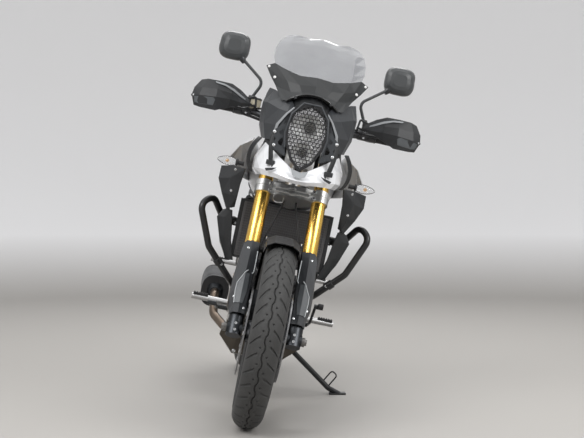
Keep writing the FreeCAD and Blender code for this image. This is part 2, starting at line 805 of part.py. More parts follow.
def make_exhaust():
    front = tube([Vector(*point) for point in header_route], header_radius, header_bend)
    start = Vector(*muffler_start)
    way = Vector(*muffler_end) - start
    wires = []
    for share, width_share, height_share in muffler_shares:
        wires.append(oval_wire(start + way * share, muffler_half_width * width_share, muffler_half_height * height_share, 2.6, way))
    can = loft(wires)
    nodes["muffler"] = [can]
    nodes["exhaust_headers"] = [carved(front, "engine_cylinders", "engine_cases", "muffler")]


# Tank and seat
tank_place = (0, 440, 790)
tank_size = (172, 385, 258)
tank_shares = [(0.0, 0.36, 0.40, 0.76), (0.13, 0.74, 0.16, 0.93), (0.33, 1.0, 0.02, 1.0), (0.61, 0.92, 0.0, 0.92),
               (0.87, 0.66, 0.0, 0.66), (1.0, 0.48, 0.02, 0.42)]
rail_height = 777
seat_place = (0, 828, rail_height + subframe_radius + play)
seat_size = (170, 672, 125)
seat_shares = [(0.0, 0.42, 0.0, 0.62), (0.12, 0.62, 0.0, 0.52), (0.32, 0.95, 0.0, 0.52), (0.45, 1.0, 0.0, 0.80),
               (0.62, 0.88, 0.0, 0.98), (0.85, 0.80, 0.0, 1.0), (1.0, 0.62, 0.0, 0.95)]


def make_tank():
    tank = body_of_ovals(tank_place, tank_size, tank_shares, 2.8)
    nodes["fuel_tank"] = [carved(tank, "main_frame", "airbox")]


def make_seat():
    nodes["seat"] = [body_of_ovals(seat_place, seat_size, seat_shares, 3.0)]


# Rear subframe: two rails under the seat and two struts
rail_x = 98
rail_start = (118, 640, 735)
rail_knee = 860
rail_end = 1510
strut_start = (118, 905, 560)
strut_knee = (104, 1150, 690)


def make_subframe():
    shapes = []
    for side in (-1, 1):
        flip = Vector(side, 1, 1)
        start, knee = Vector(*rail_start), Vector(rail_x, rail_knee, rail_height)
        end = Vector(rail_x, rail_end, rail_height)
        shapes.append(tube([Vector(side * p.x, p.y, p.z) for p in (start, knee, end)], subframe_radius, subframe_radius * 6))
        start, knee = Vector(*strut_start), Vector(*strut_knee)
        end = Vector(rail_x, rail_end * 0.93, rail_height)
        shapes.append(tube([Vector(side * p.x, p.y, p.z) for p in (start, knee, end)], subframe_radius, subframe_radius * 6))
    for y in (rail_knee * 1.12, rail_end - subframe_radius):
        shapes.append(cross_rod(y, rail_height, -rail_x, rail_x, subframe_radius * 0.8))
    shapes.append(cross_rod(shock_high[1], shock_high[2], -strut_start[0], strut_start[0], subframe_radius * 0.8))
    nodes["rear_subframe"] = [carved(fused(shapes), "main_frame", "engine_cylinders", "airbox", "fuel_tank")]


# Swingarm, its pivot bolt and the rear axle
arm_shares = ((0.0, 0.80), (0.30, 1.0), (0.8, 0.85), (1.0, 0.78), (1.05, 0.60))
arm_half_height = 40
bridge_shares = (0.20, 0.35)
bridge_half_height = 34


def make_swingarm():
    pivot = rod(swing_pivot - Vector(arm_outer_x, 0, 0), swing_pivot + Vector(arm_outer_x, 0, 0), pivot_radius)
    arms = []
    middle_x = (arm_inner_x + arm_outer_x) / 2
    for side in (-1, 1):
        wires = []
        for y_share, height_share in arm_shares:
            centre = Vector(side * middle_x, blend(pivot_y, wheelbase, y_share), blend(pivot_z, rear_radius, y_share))
            wires.append(box_wire(centre, (arm_outer_x - arm_inner_x) / 2, arm_half_height * height_share))
        arms.append(loft(wires, True))
    near, far = (blend(pivot_y, wheelbase, share) for share in bridge_shares)
    middle_z = blend(pivot_z, rear_radius, bridge_shares[0])
    bridge = box(Vector(-middle_x, near, middle_z - bridge_half_height), Vector(middle_x, far, middle_z + bridge_half_height))
    whole = fused([pivot, bridge] + arms)
    whole = whole.cut(cross_rod(pivot_y, pivot_z, -arm_outer_x, arm_outer_x, pivot_bolt_radius))
    nodes["swingarm"] = [whole.cut(cross_rod(wheelbase, rear_radius, -arm_outer_x, arm_outer_x, axle_radius))]
    nodes["rear_caliper"] = [carved(rear_caliper(), "swingarm")]
    tip = arm_outer_x + axle_radius
    spindle = cross_rod(wheelbase, rear_radius, -tip, tip, axle_radius)
    nut = cross_rod(wheelbase, rear_radius, arm_outer_x, tip, axle_head)
    bolt = cross_rod(pivot_y, pivot_z, -pivot_bolt_half, pivot_bolt_half, pivot_bolt_radius)
    nodes["rear_spindles"] = [fused([spindle] + both_sides(nut)), bolt]


# Rear shock with its spring
shock_low = (0, 1128, 438)
shock_high = (0, 975, 597)
shock_rod_radius = 14
spring_radius = 33
spring_wire = 6
spring_turns = 7


def make_shock():
    low = Vector(*shock_low)
    high = Vector(*shock_high)
    way = (high - low)
    body = [rod(low, high, shock_rod_radius)]
    body.append(rod(low + way * 0.22, low + way * 0.27, spring_radius))
    body.append(rod(low + way * 0.82, low + way * 0.90, spring_radius))
    body.append(rod(low + way * 0.5, low + way * 0.86, shock_rod_radius * 1.6))
    for point in (low, high):
        body.append(cross_rod(point.y, point.z, -shock_rod_radius, shock_rod_radius, shock_rod_radius * 1.2))
    whole = fused(body)
    nodes["rear_shock"] = [carved(whole, "swingarm", "main_frame", "rear_subframe")]


# Drive chain
chain_pitch = 15.875
chain_plate = 2.4
chain_waist_share = 0.62


def chain_line():
    """The loop that the chain follows: its two wheels, their pitch radii, and the tangents' tilt."""
    near = Vector(sprocket_offset, front_sprocket_y, front_sprocket_z)
    far = Vector(sprocket_offset, wheelbase, rear_radius)
    way = far - near
    far_radius = sprocket_radius + chain_half_height * 1.2
    lean = math.asin((far_radius - front_sprocket_radius) / way.Length)
    return near, far, far_radius, math.atan2(way.z, way.y), lean


def chain_point(distance, grow, x):
    """Point a distance round the loop, moved out from it by an amount."""
    near, far, far_radius, slope, lean = chain_line()
    run = (far - near).Length * math.cos(lean)
    legs = ((far, far_radius, math.pi / 2 + lean, -1), (near, front_sprocket_radius, -math.pi / 2 - lean, -1))
    for centre, radius, start, turn in legs:
        wrap = math.pi + 2 * lean if centre is far else math.pi - 2 * lean
        if distance < wrap * radius:
            angle = slope + start + turn * distance / radius
            reach = radius + grow
            return Vector(x, centre.y + reach * math.cos(angle), centre.z + reach * math.sin(angle))
        distance -= wrap * radius
        angle = slope + start + turn * wrap
        if distance < run:
            side = Vector(0, math.cos(angle), math.sin(angle))
            along = Vector(0, math.sin(angle), -math.cos(angle))
            return Vector(x, centre.y, centre.z) + side * (radius + grow) + along * distance
        distance -= run
    return chain_point(0, grow, x)


def chain_length():
    near, far, far_radius, slope, lean = chain_line()
    wraps = (math.pi + 2 * lean) * far_radius + (math.pi - 2 * lean) * front_sprocket_radius
    return wraps + 2 * (far - near).Length * math.cos(lean)


def chain_band(grow, waist, x_from, x_to):
    """A loop as wide as the links' ends, drawn in to a waist between them."""
    links = int(chain_length() / chain_pitch)
    step = chain_length() / links
    sides = []
    for side in (1, -1):
        points = []
        for i in range(links):
            points.append(chain_point(step * i, side * grow, x_from))
            points.append(chain_point(step * (i + 0.5), side * grow * waist, x_from))
        sides.append(Part.Face(Part.makePolygon(points + [points[0]])))
    return sides[0].cut(sides[1]).extrude(Vector(x_to - x_from, 0, 0))


def make_chain():
    middle = sprocket_offset
    core = chain_band(chain_half_height * chain_waist_share, 1, middle - chain_half_width, middle + chain_half_width)
    plates = []
    for side in (-1, 1):
        outer = middle + side * chain_half_width
        plates.append(chain_band(chain_half_height, chain_waist_share, outer - side * chain_plate, outer))
    nodes["chain"] = [carved(fused([core] + plates), "engine_cases")]


# Chain guard on the swingarm
chain_guard_place = (0, 1100, 388)
chain_guard_size = (107, 384, 80)
chain_guard_shares = [
    [(0.748, 0.026, 0.975), (0.748, 0.391, 0.95), (0.748, 0.781, 0.9), (0.748, 0.99, 0.65)],
    [(1, 0.016, 1), (1, 0.391, 0.975), (1, 0.781, 0.925), (1, 1, 0.675)],
    [(1, 0, 0.375), (1, 0.391, 0.2), (1, 0.781, 0), (1, 0.979, 0.212)],
]


def make_chain_guard():
    guard = panel(chain_guard_place, chain_guard_size, chain_guard_shares, Vector(-sheet, 0, -sheet))
    nodes["chain_guard"] = [carved(guard, "swingarm", "chain")]


# Side stand: a leg that swings on a slanted bolt, and the lug that carries it
stand_pivot = Vector(149, 800, 214)
stand_foot = Vector(372, 725, 82)
stand_axis = Vector(0.4804, -0.141, 0.8655)
stand_boss_radius = 17
stand_boss_half = 12
stand_bolt_radius = 7
stand_lug_wall = 9
foot_half_length = 34
foot_half_width = 22
foot_thickness = 7
stand_knee_share = 0.82
stand_knee_drop = 12
tang_setback = 78
tang_width = 30
tang_reach = Vector(25, -11, 48)
tang_radius = 3


def make_stand():
    boss = rod(stand_pivot - stand_axis * stand_boss_half, stand_pivot + stand_axis * stand_boss_half, stand_boss_radius)
    knee = stand_pivot + (stand_foot - stand_pivot) * stand_knee_share - Vector(0, 0, stand_knee_drop)
    leg = tube([stand_pivot, knee, stand_foot + Vector(foot_half_width * 0.5, 0, -stand_radius * 0.2)], stand_radius, stand_radius * 3)
    sole = stance.multVec(stand_foot)
    low = Vector(sole.x - foot_half_length, sole.y - foot_half_width, 0)
    foot = box(low, low + Vector(foot_half_length * 2, foot_half_width * 2, foot_thickness))
    post = rod(Vector(sole.x, sole.y, 0), Vector(sole.x, sole.y, sole.z), stand_radius)
    foot = fused([foot, post])
    foot.Placement = stance.inverse().multiply(foot.Placement)
    bolt_room = rod(stand_pivot - stand_axis * stand_boss_radius, stand_pivot + stand_axis * stand_boss_radius,
                    stand_bolt_radius + running_play)
    way = (stand_foot - stand_pivot).normalize()
    root = stand_foot - way * tang_setback
    tip = root + tang_reach
    tang = tube([root, tip, tip + way * tang_width, root + way * tang_width], tang_radius, tang_radius * 4)
    whole = fused([boss, leg, foot, tang])
    below = Part.makeBox(wheelbase, wheelbase, wheelbase, Vector(-wheelbase / 2, 0, -wheelbase))
    below.Placement = stance.inverse().multiply(below.Placement)
    nodes["side_stand"] = [whole.cut(bolt_room).cut(below)]
    lugs = []
    for side in (-1, 1):
        start = stand_pivot + stand_axis * side * (stand_boss_half + play)
        lugs.append(rod(start, start + stand_axis * side * stand_lug_wall, stand_boss_radius))
        inward = Vector(case_half_width * 0.8, crank_y + case_length * 0.3, stand_pivot.z + case_height * 0.9)
        middle = start + stand_axis * side * stand_lug_wall * 0.5
        lugs.append(rod(middle, inward, stand_lug_wall * 0.6 if side < 0 else stand_lug_wall))
    bolt = rod(stand_pivot - stand_axis * (stand_boss_half + stand_lug_wall), stand_pivot + stand_axis * (stand_boss_half + stand_lug_wall),
               stand_bolt_radius)
    lug = fused(lugs + [bolt])
    sweep = rod(stand_pivot - stand_axis * (stand_boss_half + play), stand_pivot + stand_axis * (stand_boss_half + play),
                stand_boss_radius + stand_radius)
    sweep = sweep.cut(bolt)
    nodes["stand_bracket"] = [carved(lug.cut(sweep), "engine_cases")]


# Nose: beak, headlight, cowl, screen and the stay that carries them
beak_place = (0, 150, 857)
beak_size = (164, 242, 131)
beak_shares = [
    [(0, -0.711, 0.29), (0.122, -0.702, 0.366), (0.274, -0.678, 0.496), (0.457, -0.612, 0.649),
     (0.646, -0.479, 0.832), (0.817, -0.289, 1), (0.89, 0, 0.977)],
    [(0, -0.884, 0.191), (0.159, -0.86, 0.237), (0.366, -0.785, 0.359), (0.585, -0.645, 0.481),
     (0.793, -0.446, 0.603), (0.963, -0.215, 0.618), (1, 0, 0.603)],
    [(0, -1, 0.084), (0.183, -0.967, 0.099), (0.402, -0.868, 0.16), (0.622, -0.694, 0.221),
     (0.829, -0.471, 0.267), (0.957, -0.215, 0.275), (0.988, 0, 0.275)],
    [(0, -0.934, 0), (0.183, -0.901, 0.023), (0.39, -0.81, 0.061), (0.585, -0.653, 0.092),
     (0.756, -0.463, 0.115), (0.854, -0.223, 0.122), (0.89, 0, 0.13)],
]
lamp_place = (0, 0, 1027)
lamp_size = (77, 100, 122)
lamp_outline_shares = [(0, 1.0), (0.72, 0.77), (0.97, 0.28), (0.86, -0.26), (0.50, -0.72), (0, -1.0)]
lamp_back_share = 0.86
lens_setback = 12
guard_wire = 3.5
guard_mesh_wire = 1.4
guard_gap = 14
guard_spacing = 13
screen_place = (0, 40, 1146)
screen_size = (189, 112, 133)
base_shares = [
    [(0, 0.339, 0.782), (0.317, 0.393, 0.752), (0.635, 0.607, 0.872), (0.847, 0.839, 1), (1, 1, 0.91)],
    [(0, 0.107, 0.526), (0.307, 0.179, 0.481), (0.55, 0.393, 0.541), (0.741, 0.643, 0.647),
     (0.878, 0.821, 0.632)],
    [(0, 0.036, 0.346), (0.243, 0.089, 0.301), (0.444, 0.232, 0.256), (0.624, 0.464, 0.316),
     (0.751, 0.643, 0.391)],
    [(0, 0, 0.271), (0.212, 0.027, 0.226), (0.381, 0.089, 0.105), (0.487, 0.179, 0),
     (0.593, 0.268, 0.008)],
]
glass_shares = [
    [(0, 0.339, 0.782), (0.317, 0.393, 0.752), (0.635, 0.607, 0.872), (0.847, 0.839, 1)],
    [(0, 0.571, 1.053), (0.328, 0.625, 1.023), (0.667, 0.839, 1.098), (0.889, 1.107, 1.203)],
    [(0, 0.982, 1.459), (0.349, 1.045, 1.429), (0.667, 1.214, 1.459), (0.894, 1.482, 1.504)],
    [(0, 1.411, 1.82), (0.328, 1.464, 1.774), (0.635, 1.589, 1.774), (0.847, 1.786, 1.759)],
    [(0, 1.679, 2), (0.296, 1.723, 1.94), (0.582, 1.804, 1.94), (0.772, 1.911, 1.895)],
    [(0, 1.786, 2.053), (0.265, 1.821, 1.992), (0.519, 1.866, 2.023), (0.677, 1.929, 1.977)],
]
cheek_place = (50, 12, 998)
cheek_size = (126, 232, 194)
cheek_shares = [
    [(0, 0.121, 0.598), (0.19, 0.216, 0.784), (0.429, 0.345, 0.856), (0.714, 0.474, 0.959),
     (0.873, 0.638, 1), (0.937, 0.966, 0.938)],
    [(0.063, 0.034, 0.5), (0.246, 0.026, 0.546), (0.492, 0.164, 0.588), (0.857, 0.371, 0.691),
     (0.984, 0.595, 0.711), (1, 1, 0.649)],
    [(0.143, 0.009, 0.268), (0.286, 0, 0.268), (0.524, 0.121, 0.278), (0.841, 0.353, 0.309),
     (0.952, 0.595, 0.32), (0.968, 1, 0.32)],
    [(0.095, 0.043, 0.01), (0.222, 0.034, 0.01), (0.46, 0.138, 0), (0.714, 0.345, 0.021),
     (0.81, 0.595, 0.052), (0.841, 0.983, 0.103)],
]
visor_place = (0, 30, 1090)
visor_size = (92, 100, 125)
visor_shares = [
    [(0, 0, 0.424), (0.293, 0, 0.304), (0.576, 0, 0.192), (0.652, 0.04, 0)],
    [(0, 0.34, 0.768), (0.37, 0.36, 0.72), (0.696, 0.44, 0.576), (0.957, 0.58, 0.368)],
    [(0, 0.8, 1), (0.37, 0.82, 0.944), (0.717, 0.9, 0.768), (1, 1, 0.48)],
]
visor_post_radius = 5
dash_place = (0, 250, 1120)
dash_size = (95, 56, 100)
dash_outline_shares = [(0.1, 0.05), (0.6, 0.0), (1.0, 0.92), (0.5, 1.0)]
stay_radius = 8
stay_half_width = 12


def stay_head():
    return steer_point((lower_clamp_along + upper_clamp_along) / 2 + clamp_thickness / 2)


def stay_end():
    return Vector(beak_size[0] * 0.98, lamp_size[1] + stay_radius * 5, stay_head().z)


def beak_inward(point):
    return Vector(-sheet * point.x / beak_size[0], sheet, 0)


def lamp_points(y, scale_share):
    right = [(x, z) for x, z in lamp_outline_shares]
    left = [(-x, z) for x, z in reversed(lamp_outline_shares[1:-1])]
    return [Vector(x * lamp_size[0] * scale_share, y, lamp_place[2] + z * lamp_size[2] * scale_share) for x, z in right + left]


def closed(points):
    return Part.makePolygon(points + [points[0]])


def make_nose():
    nodes["front_beak"] = [faceted([spots(beak_place, beak_size, row) for row in widened(beak_shares)], beak_inward)]
    base = faceted([spots(screen_place, screen_size, row) for row in widened(base_shares)], Vector(0, sheet, 0))
    nodes["windscreen_base"] = [base]
    glass = [spots(screen_place, screen_size, row) for row in widened(glass_shares)]
    nodes["windscreen"] = [faceted(glass, Vector(0, sheet, 0))]
    shell = loft([closed(lamp_points(0, 1)), closed(lamp_points(lamp_size[1], lamp_back_share))], True)
    pocket = loft([closed(lamp_points(-sheet, 0.94)), closed(lamp_points(lamp_size[1] * 0.6, 0.80))], True)
    visor = faceted([spots(visor_place, visor_size, row) for row in widened(visor_shares)], Vector(0, sheet, -sheet))
    posts = []
    for side in (-1, 1):
        x, y, z = visor_shares[1][2]
        back = spot(visor_place, visor_size, (side * x, y, z)) + Vector(0, sheet, -sheet)
        posts.append(rod(back, spot(screen_place, screen_size, (side * x * visor_size[0] / screen_size[0], 0, 0.12)),
                         visor_post_radius))
    housing = fused([shell, visor] + posts).cut(pocket)
    nodes["headlight_housing"] = [carved(housing, "windscreen_base")]
    lens = Part.Face(closed(lamp_points(lens_setback, 0.92))).extrude(Vector(0, sheet, 0))
    nodes["headlight_lens"] = [lens.common(pocket)]
    nodes["headlight_guard"] = [make_guard()]
    cheek = panel(cheek_place, cheek_size, cheek_shares, Vector(-sheet, sheet, 0))
    nodes["headlight_cowl"] = carved_pair(cheek, "headlight_housing", "windscreen_base")
    dash = [(dash_place[1] + dash_size[1] * y, dash_place[2] + dash_size[2] * z) for y, z in dash_outline_shares]
    nodes["instrument_panel"] = [side_plate(dash, -dash_size[0], dash_size[0], dash_size[1] * 0.2)]
    head = stay_head()
    front = lamp_size[1]
    spine = box(Vector(-stay_half_width, front, head.z - spar_half_height * 0.4),
                Vector(stay_half_width, head.y, head.z + spar_half_height * 0.8))
    top = dash_place[2]
    end = stay_end()
    shapes = [spine, cross_rod(end.y, end.z, -end.x, end.x, stay_radius)]
    for side in (-1, 1):
        knee = Vector(side * lamp_size[0] * 0.8, front + stay_radius * 5, head.z)
        rise = Vector(side * lamp_size[0] * 0.8, front + stay_radius * 5, top)
        hook = Vector(side * lamp_size[0] * 0.8, dash_place[1] + dash_size[1] * 0.5, top + dash_size[2] * 0.5)
        shapes.append(tube([knee, rise, hook], stay_radius, stay_radius * 3))
        seat = Vector(side * lamp_size[0] * 0.6, front, lamp_place[2])
        shapes.append(rod(seat, Vector(knee.x, knee.y, lamp_place[2]), stay_radius * 0.7))
    socket = rod(steer_point(lower_clamp_along), steer_point(upper_clamp_along), head_tube_radius)
    stay = fused(shapes).cut(socket)
    nodes["fairing_stay"] = [carved(stay, "main_frame", "instrument_panel", "headlight_housing", "front_beak")]


def make_guard():
    """Steel ring with a mesh in broken courses, held in front of the lamp."""
    outer = Part.Face(closed(lamp_points(-guard_gap, 1.02)))
    inner = Part.Face(closed(lamp_points(-guard_gap, 0.91)))
    ring = outer.cut(inner).extrude(Vector(0, -guard_wire, 0))
    bars = []
    front, back = -guard_gap - guard_wire, -guard_gap
    rows = int(lamp_size[2] / guard_spacing)
    columns = int(lamp_size[0] / guard_spacing)
    for i in range(-rows, rows + 1):
        z = lamp_place[2] + i * guard_spacing
        bars.append(box(Vector(-lamp_size[0], front, z - guard_mesh_wire), Vector(lamp_size[0], back, z + guard_mesh_wire)))
        slip = guard_spacing * (i % 2) / 2
        for j in range(-columns, columns + 1):
            x = j * guard_spacing + slip
            bars.append(box(Vector(x - guard_mesh_wire, front, z), Vector(x + guard_mesh_wire, back, z + guard_spacing)))
    mesh = fused(bars).common(outer.extrude(Vector(0, -guard_wire, 0)))
    posts = [rod(point, point + Vector(0, guard_gap + guard_wire, 0), guard_wire * 0.7)
             for point in lamp_points(-guard_gap - guard_wire, 0.97)]
    return carved(fused([ring, mesh] + posts), "headlight_housing")


# Side bodywork
shroud_shares = [
    [(0.724, 0, 0.873), (0.708, 0.239, 1), (0.669, 0.565, 0.937), (0.584, 0.864, 0.778)],
    [(0.879, 0.016, 0.696), (0.864, 0.266, 0.778), (0.794, 0.592, 0.62), (0.646, 0.946, 0.43)],
    [(1, 0.092, 0.392), (0.957, 0.321, 0.399), (0.825, 0.62, 0.272), (0.654, 1, 0.146)],
    [(0.864, 0.076, 0.215), (0.879, 0.321, 0.114), (0.77, 0.62, 0.025), (0.646, 0.973, 0)],
]
shroud_place = (0, 262, 862)
shroud_size = (257, 368, 158)
cover_place = (0, 262, 706)
cover_size = (279, 178, 188)
cover_shares = [
    [(0.674, 0, 0.989), (0.824, 0.034, 1), (0.996, 0.213, 0.957), (0.939, 0.663, 0.894),
     (0.846, 1, 0.766)],
    [(0.703, 0, 0.67), (0.846, 0.011, 0.745), (1, 0.213, 0.702), (0.946, 0.663, 0.606), (0.832, 1, 0.5)],
    [(0.71, 0.034, 0.394), (0.803, 0.034, 0.426), (0.918, 0.213, 0.426), (0.882, 0.618, 0.33),
     (0.796, 0.944, 0.234)],
    [(0.717, 0.157, 0.202), (0.76, 0.146, 0.17), (0.817, 0.247, 0.17), (0.803, 0.551, 0.085),
     (0.767, 0.831, 0)],
]
skirt_place = (0, 320, 540)
skirt_size = (256, 118, 193)
skirt_shares = [
    [(0.805, 0, 0.99), (0.883, 0.034, 1), (0.938, 0.085, 0.964), (0.93, 0.551, 0.86),
     (0.883, 0.983, 0.777)],
    [(0.773, 0.017, 0.777), (0.883, 0.034, 0.829), (1, 0.102, 0.808), (0.977, 0.576, 0.684),
     (0.898, 1, 0.57)],
    [(0.734, 0.068, 0.415), (0.828, 0.085, 0.466), (0.906, 0.153, 0.446), (0.891, 0.576, 0.332),
     (0.836, 0.966, 0.259)],
    [(0.648, 0.212, 0.031), (0.703, 0.22, 0.021), (0.758, 0.254, 0.031), (0.742, 0.593, 0),
     (0.703, 0.932, 0)],
]


cover_stay_length = 62
side_place = (0, 900, 672)
side_size = (142, 330, 104)
side_shares = [
    [(0.754, 0, 1), (0.789, 0.242, 0.981), (0.789, 0.606, 0.981), (0.754, 1, 1)],
    [(0.915, 0.015, 0.606), (1, 0.242, 0.538), (0.986, 0.576, 0.481), (0.845, 0.955, 0.673)],
    [(0.901, 0.061, 0.173), (0.972, 0.258, 0), (0.937, 0.485, 0), (0.838, 0.758, 0.346)],
]


def cover_stay(height_share):
    """Stub from the radiator's side tank out to a cover."""
    start = spot(radiator_place, radiator_size, (0.95, 0.5, height_share))
    return rod(start, start + Vector(cover_stay_length, 0, 0), radiator_stay_radius)


def make_side_bodywork():
    shroud = panel(shroud_place, shroud_size, shroud_shares, Vector(-sheet, 0, 0))
    nodes["tank_shrouds"] = carved_pair(shroud, "fuel_tank", "main_frame")
    cover = panel(cover_place, cover_size, cover_shares, Vector(-sheet, sheet, 0))
    nodes["radiator_covers"] = carved_pair(fused([cover, cover_stay(0.88)]), "radiator", "crash_bars")
    skirt = panel(skirt_place, skirt_size, skirt_shares, Vector(-sheet, sheet, 0))
    nodes["lower_side_covers"] = carved_pair(fused([skirt, cover_stay(0.38)]), "radiator", "crash_bars",
                                              "radiator_covers")
    side = panel(side_place, side_size, side_shares, Vector(-sheet, 0, 0))
    nodes["side_covers"] = carved_pair(side, "rear_subframe", "seat", "fuel_tank", "main_frame")


# Crash bars
crash_route = [(110, 560, 705), (232, 425, 690), (284, 335, 770), (324, 300, 730), (262, 312, 580), (170, 345, 482),
               (100, 580, 395)]


def make_crash_bars():
    bar = tube([Vector(*point) for point in crash_route], crash_bar_radius, crash_bar_radius * 3.2)
    bar = carved(bar, "main_frame", "engine_cases", "fuel_tank", "engine_cylinders")
    nodes["crash_bars"] = both_sides(bar.Solids[0])


# Skid plate under the engine
skid_place = (0, 395, 178)
skid_size = (155, 340, 187)
skid_shares = [
    [(-0.77, 0.02, 1.0), (-0.45, 0.0, 0.95), (0.45, 0.0, 0.95), (0.77, 0.02, 1.0)],
    [(-1.0, 0.16, 0.39), (-0.61, 0.16, 0.08), (0.61, 0.16, 0.08), (1.0, 0.16, 0.39)],
    [(-1.0, 0.42, 0.39), (-0.61, 0.42, 0.0), (0.61, 0.42, 0.0), (1.0, 0.42, 0.39)],
    [(-0.97, 1.0, 0.39), (-0.58, 1.0, 0.0), (0.58, 1.0, 0.0), (0.97, 1.0, 0.39)],
]


skid_lug_shares = (0.62, 0.92)
skid_lug_radius = 7


def make_skid_plate():
    shapes = [panel(skid_place, skid_size, skid_shares, Vector(0, 0, sheet))]
    for side in (-1, 1):
        for y_share in skid_lug_shares:
            low = spot(skid_place, skid_size, (side * 0.96, y_share, 0.37))
            shapes.append(rod(low, Vector(side * case_half_width * 0.9, low.y, crank_z - case_height * 0.85), skid_lug_radius))
    nodes["skid_plate"] = [carved(fused(shapes), "engine_cases", "exhaust_headers")]


# Footrests and foot controls
peg_radius = 13
peg_y = 872
peg_z = 345
peg_reach = 308
hanger_shares = [(0.0, 0.06), (0.07, 0.16), (0.16, 0.14), (0.13, -0.14), (0.04, -0.10), (-0.02, -0.04)]
hanger_thickness = 9
pillion_peg_radius = 11


def make_footrests():
    inner = pivot_bolt_half + play
    outline = [(peg_y * (1 + y), peg_z * (1 + z)) for y, z in hanger_shares]
    hanger = side_plate(outline, inner, inner + hanger_thickness, hanger_thickness)
    peg = rod(Vector(inner, peg_y, peg_z), Vector(peg_reach, peg_y + peg_radius, peg_z), peg_radius)
    rider = both_sides(fused([hanger, peg]))
    loop = tube([Vector(rail_x, 985, 690), Vector(150, 1080, 560), Vector(150, 1150, 500), Vector(150, 1200, 560),
                 Vector(rail_x, 1300, 735)], pillion_peg_radius * 0.8, 20)
    peg = rod(Vector(150, 1150, 505), Vector(268, 1160, 505), pillion_peg_radius)
    hanger = fused([loop, peg])
    nodes["footrests"] = rider + both_sides(carved(hanger, "rear_subframe"))


# Shift lever on the left, brake pedal on the right
control_pivot = Vector(199, 852, 323)
shift_route = [(0, 0, 0), (4, -72, 17), (9, -137, 92)]
pedal_route = [(0, 0, 0), (-6, -80, 4), (2, -150, 22)]
control_radius = 6
toe_radius = 10
toe_length = 32


def make_foot_controls():
    controls = []
    for side, route in ((1, shift_route), (-1, pedal_route)):
        pivot = Vector(side * control_pivot.x, control_pivot.y, control_pivot.z)
        points = [pivot + Vector(side * x, y, z) for x, y, z in route]
        axle = rod(Vector(side * (pivot_bolt_half + hanger_thickness / 2), pivot.y, pivot.z), pivot, toe_radius)
        toe = rod(points[-1] - Vector(side * control_radius, 0, 0), points[-1] + Vector(side * toe_length, 0, 0), toe_radius)
        controls.append(carved(fused([axle, tube(points, control_radius, control_radius * 4), toe]), "footrests"))
    nodes["foot_controls"] = controls


# Turn signals
signal_place = (220, 168, 902)
signal_length = 72
signal_radius = 21
signal_stalk_radius = 8


def front_signals():
    start = Vector(*signal_place)
    body = taper(start, start + Vector(signal_length, -signal_stalk_radius, 0), signal_radius, signal_radius * 0.8)
    stalk = rod(stay_end(), start, signal_stalk_radius)
    return carved_pair(fused([body, stalk]), "fairing_stay", "front_beak")


# Tail
tail_place = (0, 1420, 766)
tail_size = (112, 310, 130)
tail_shares = [(0.0, 0.92, 0.0, 0.30), (0.27, 1.0, 0.0, 0.80), (0.65, 0.92, 0.16, 0.98), (1.0, 0.62, 0.42, 0.92)]
rack_place = (0, 1520, 925)
rack_size = (105, 290, 12)
rack_hole_radius = 4.5
rack_hole_half = 60
handle_radius = 10
rack_strut_radius = 9


def make_tail():
    tail = body_of_ovals(tail_place, tail_size, tail_shares, 3.4)
    nodes["tail_cowl"] = [carved(tail, "rear_subframe", "seat")]
    plate_box = box(spot(rack_place, rack_size, (-1, 0, 0)), spot(rack_place, rack_size, (1, 1, 1)))
    centre = Vector(0, rack_place[1] + rack_size[1] / 2, rack_place[2])
    for x in (-1, 1):
        for y in (-1, 1):
            start = centre + Vector(x * rack_hole_half, y * rack_hole_half, 0)
            plate_box = plate_box.cut(rod(start, start + Vector(0, 0, rack_size[2]), rack_hole_radius))
    shapes = [plate_box]
    for side in (-1, 1):
        handle = [(rack_size[0] * 0.9, rack_place[1] + rack_size[1] * 0.15, rack_place[2] + rack_size[2] / 2),
                  (rack_size[0] * 1.6, rack_place[1] - rack_size[1] * 0.15, rack_place[2]),
                  (rack_size[0] * 1.6, rack_place[1] - rack_size[1] * 0.75, rack_place[2] - rack_size[2] * 4),
                  (rail_x, rack_place[1] - rack_size[1] * 0.95, rail_height)]
        shapes.append(tube([Vector(side * x, y, z) for x, y, z in handle], handle_radius, handle_radius * 4))
    for side in (-1, 1):
        low = Vector(side * rail_x * 0.85, rack_place[1] + rack_size[1] * 0.3, tail_place[2] + tail_size[2] * 0.6)
        shapes.append(rod(low, Vector(low.x, low.y, rack_place[2] + rack_size[2] / 2), rack_strut_radius))
    nodes["rear_rack"] = [carved(fused(shapes), "tail_cowl", "seat", "rear_subframe")]
    light_place = (0, tail_place[1] + tail_size[1], tail_place[2] + tail_size[2] * 0.67)
    half_z = tail_size[2] * 0.2
    nodes["tail_light"] = [loft([oval_wire(Vector(*light_place), tail_size[0] * 0.5, half_z, 3),
                                 oval_wire(Vector(*light_place) + Vector(0, half_z, 0), tail_size[0] * 0.44, half_z * 0.8, 3)])]
    hanger = panel(hanger_place, hanger_size, widened(hanger_panel_shares), Vector(0, sheet, sheet))
    nodes["rear_fender"] = [carved(hanger, "tail_cowl", "rear_subframe")]
    start = Vector(*rear_signal_place)
    body = taper(start, start + Vector(signal_length, 0, 0), signal_radius, signal_radius * 0.8)
    stalk = rod(Vector(hanger_size[0] * 0.5, start.y, start.z), start, signal_stalk_radius)
    nodes["turn_signals"] = front_signals() + carved_pair(fused([body, stalk]), "rear_fender")


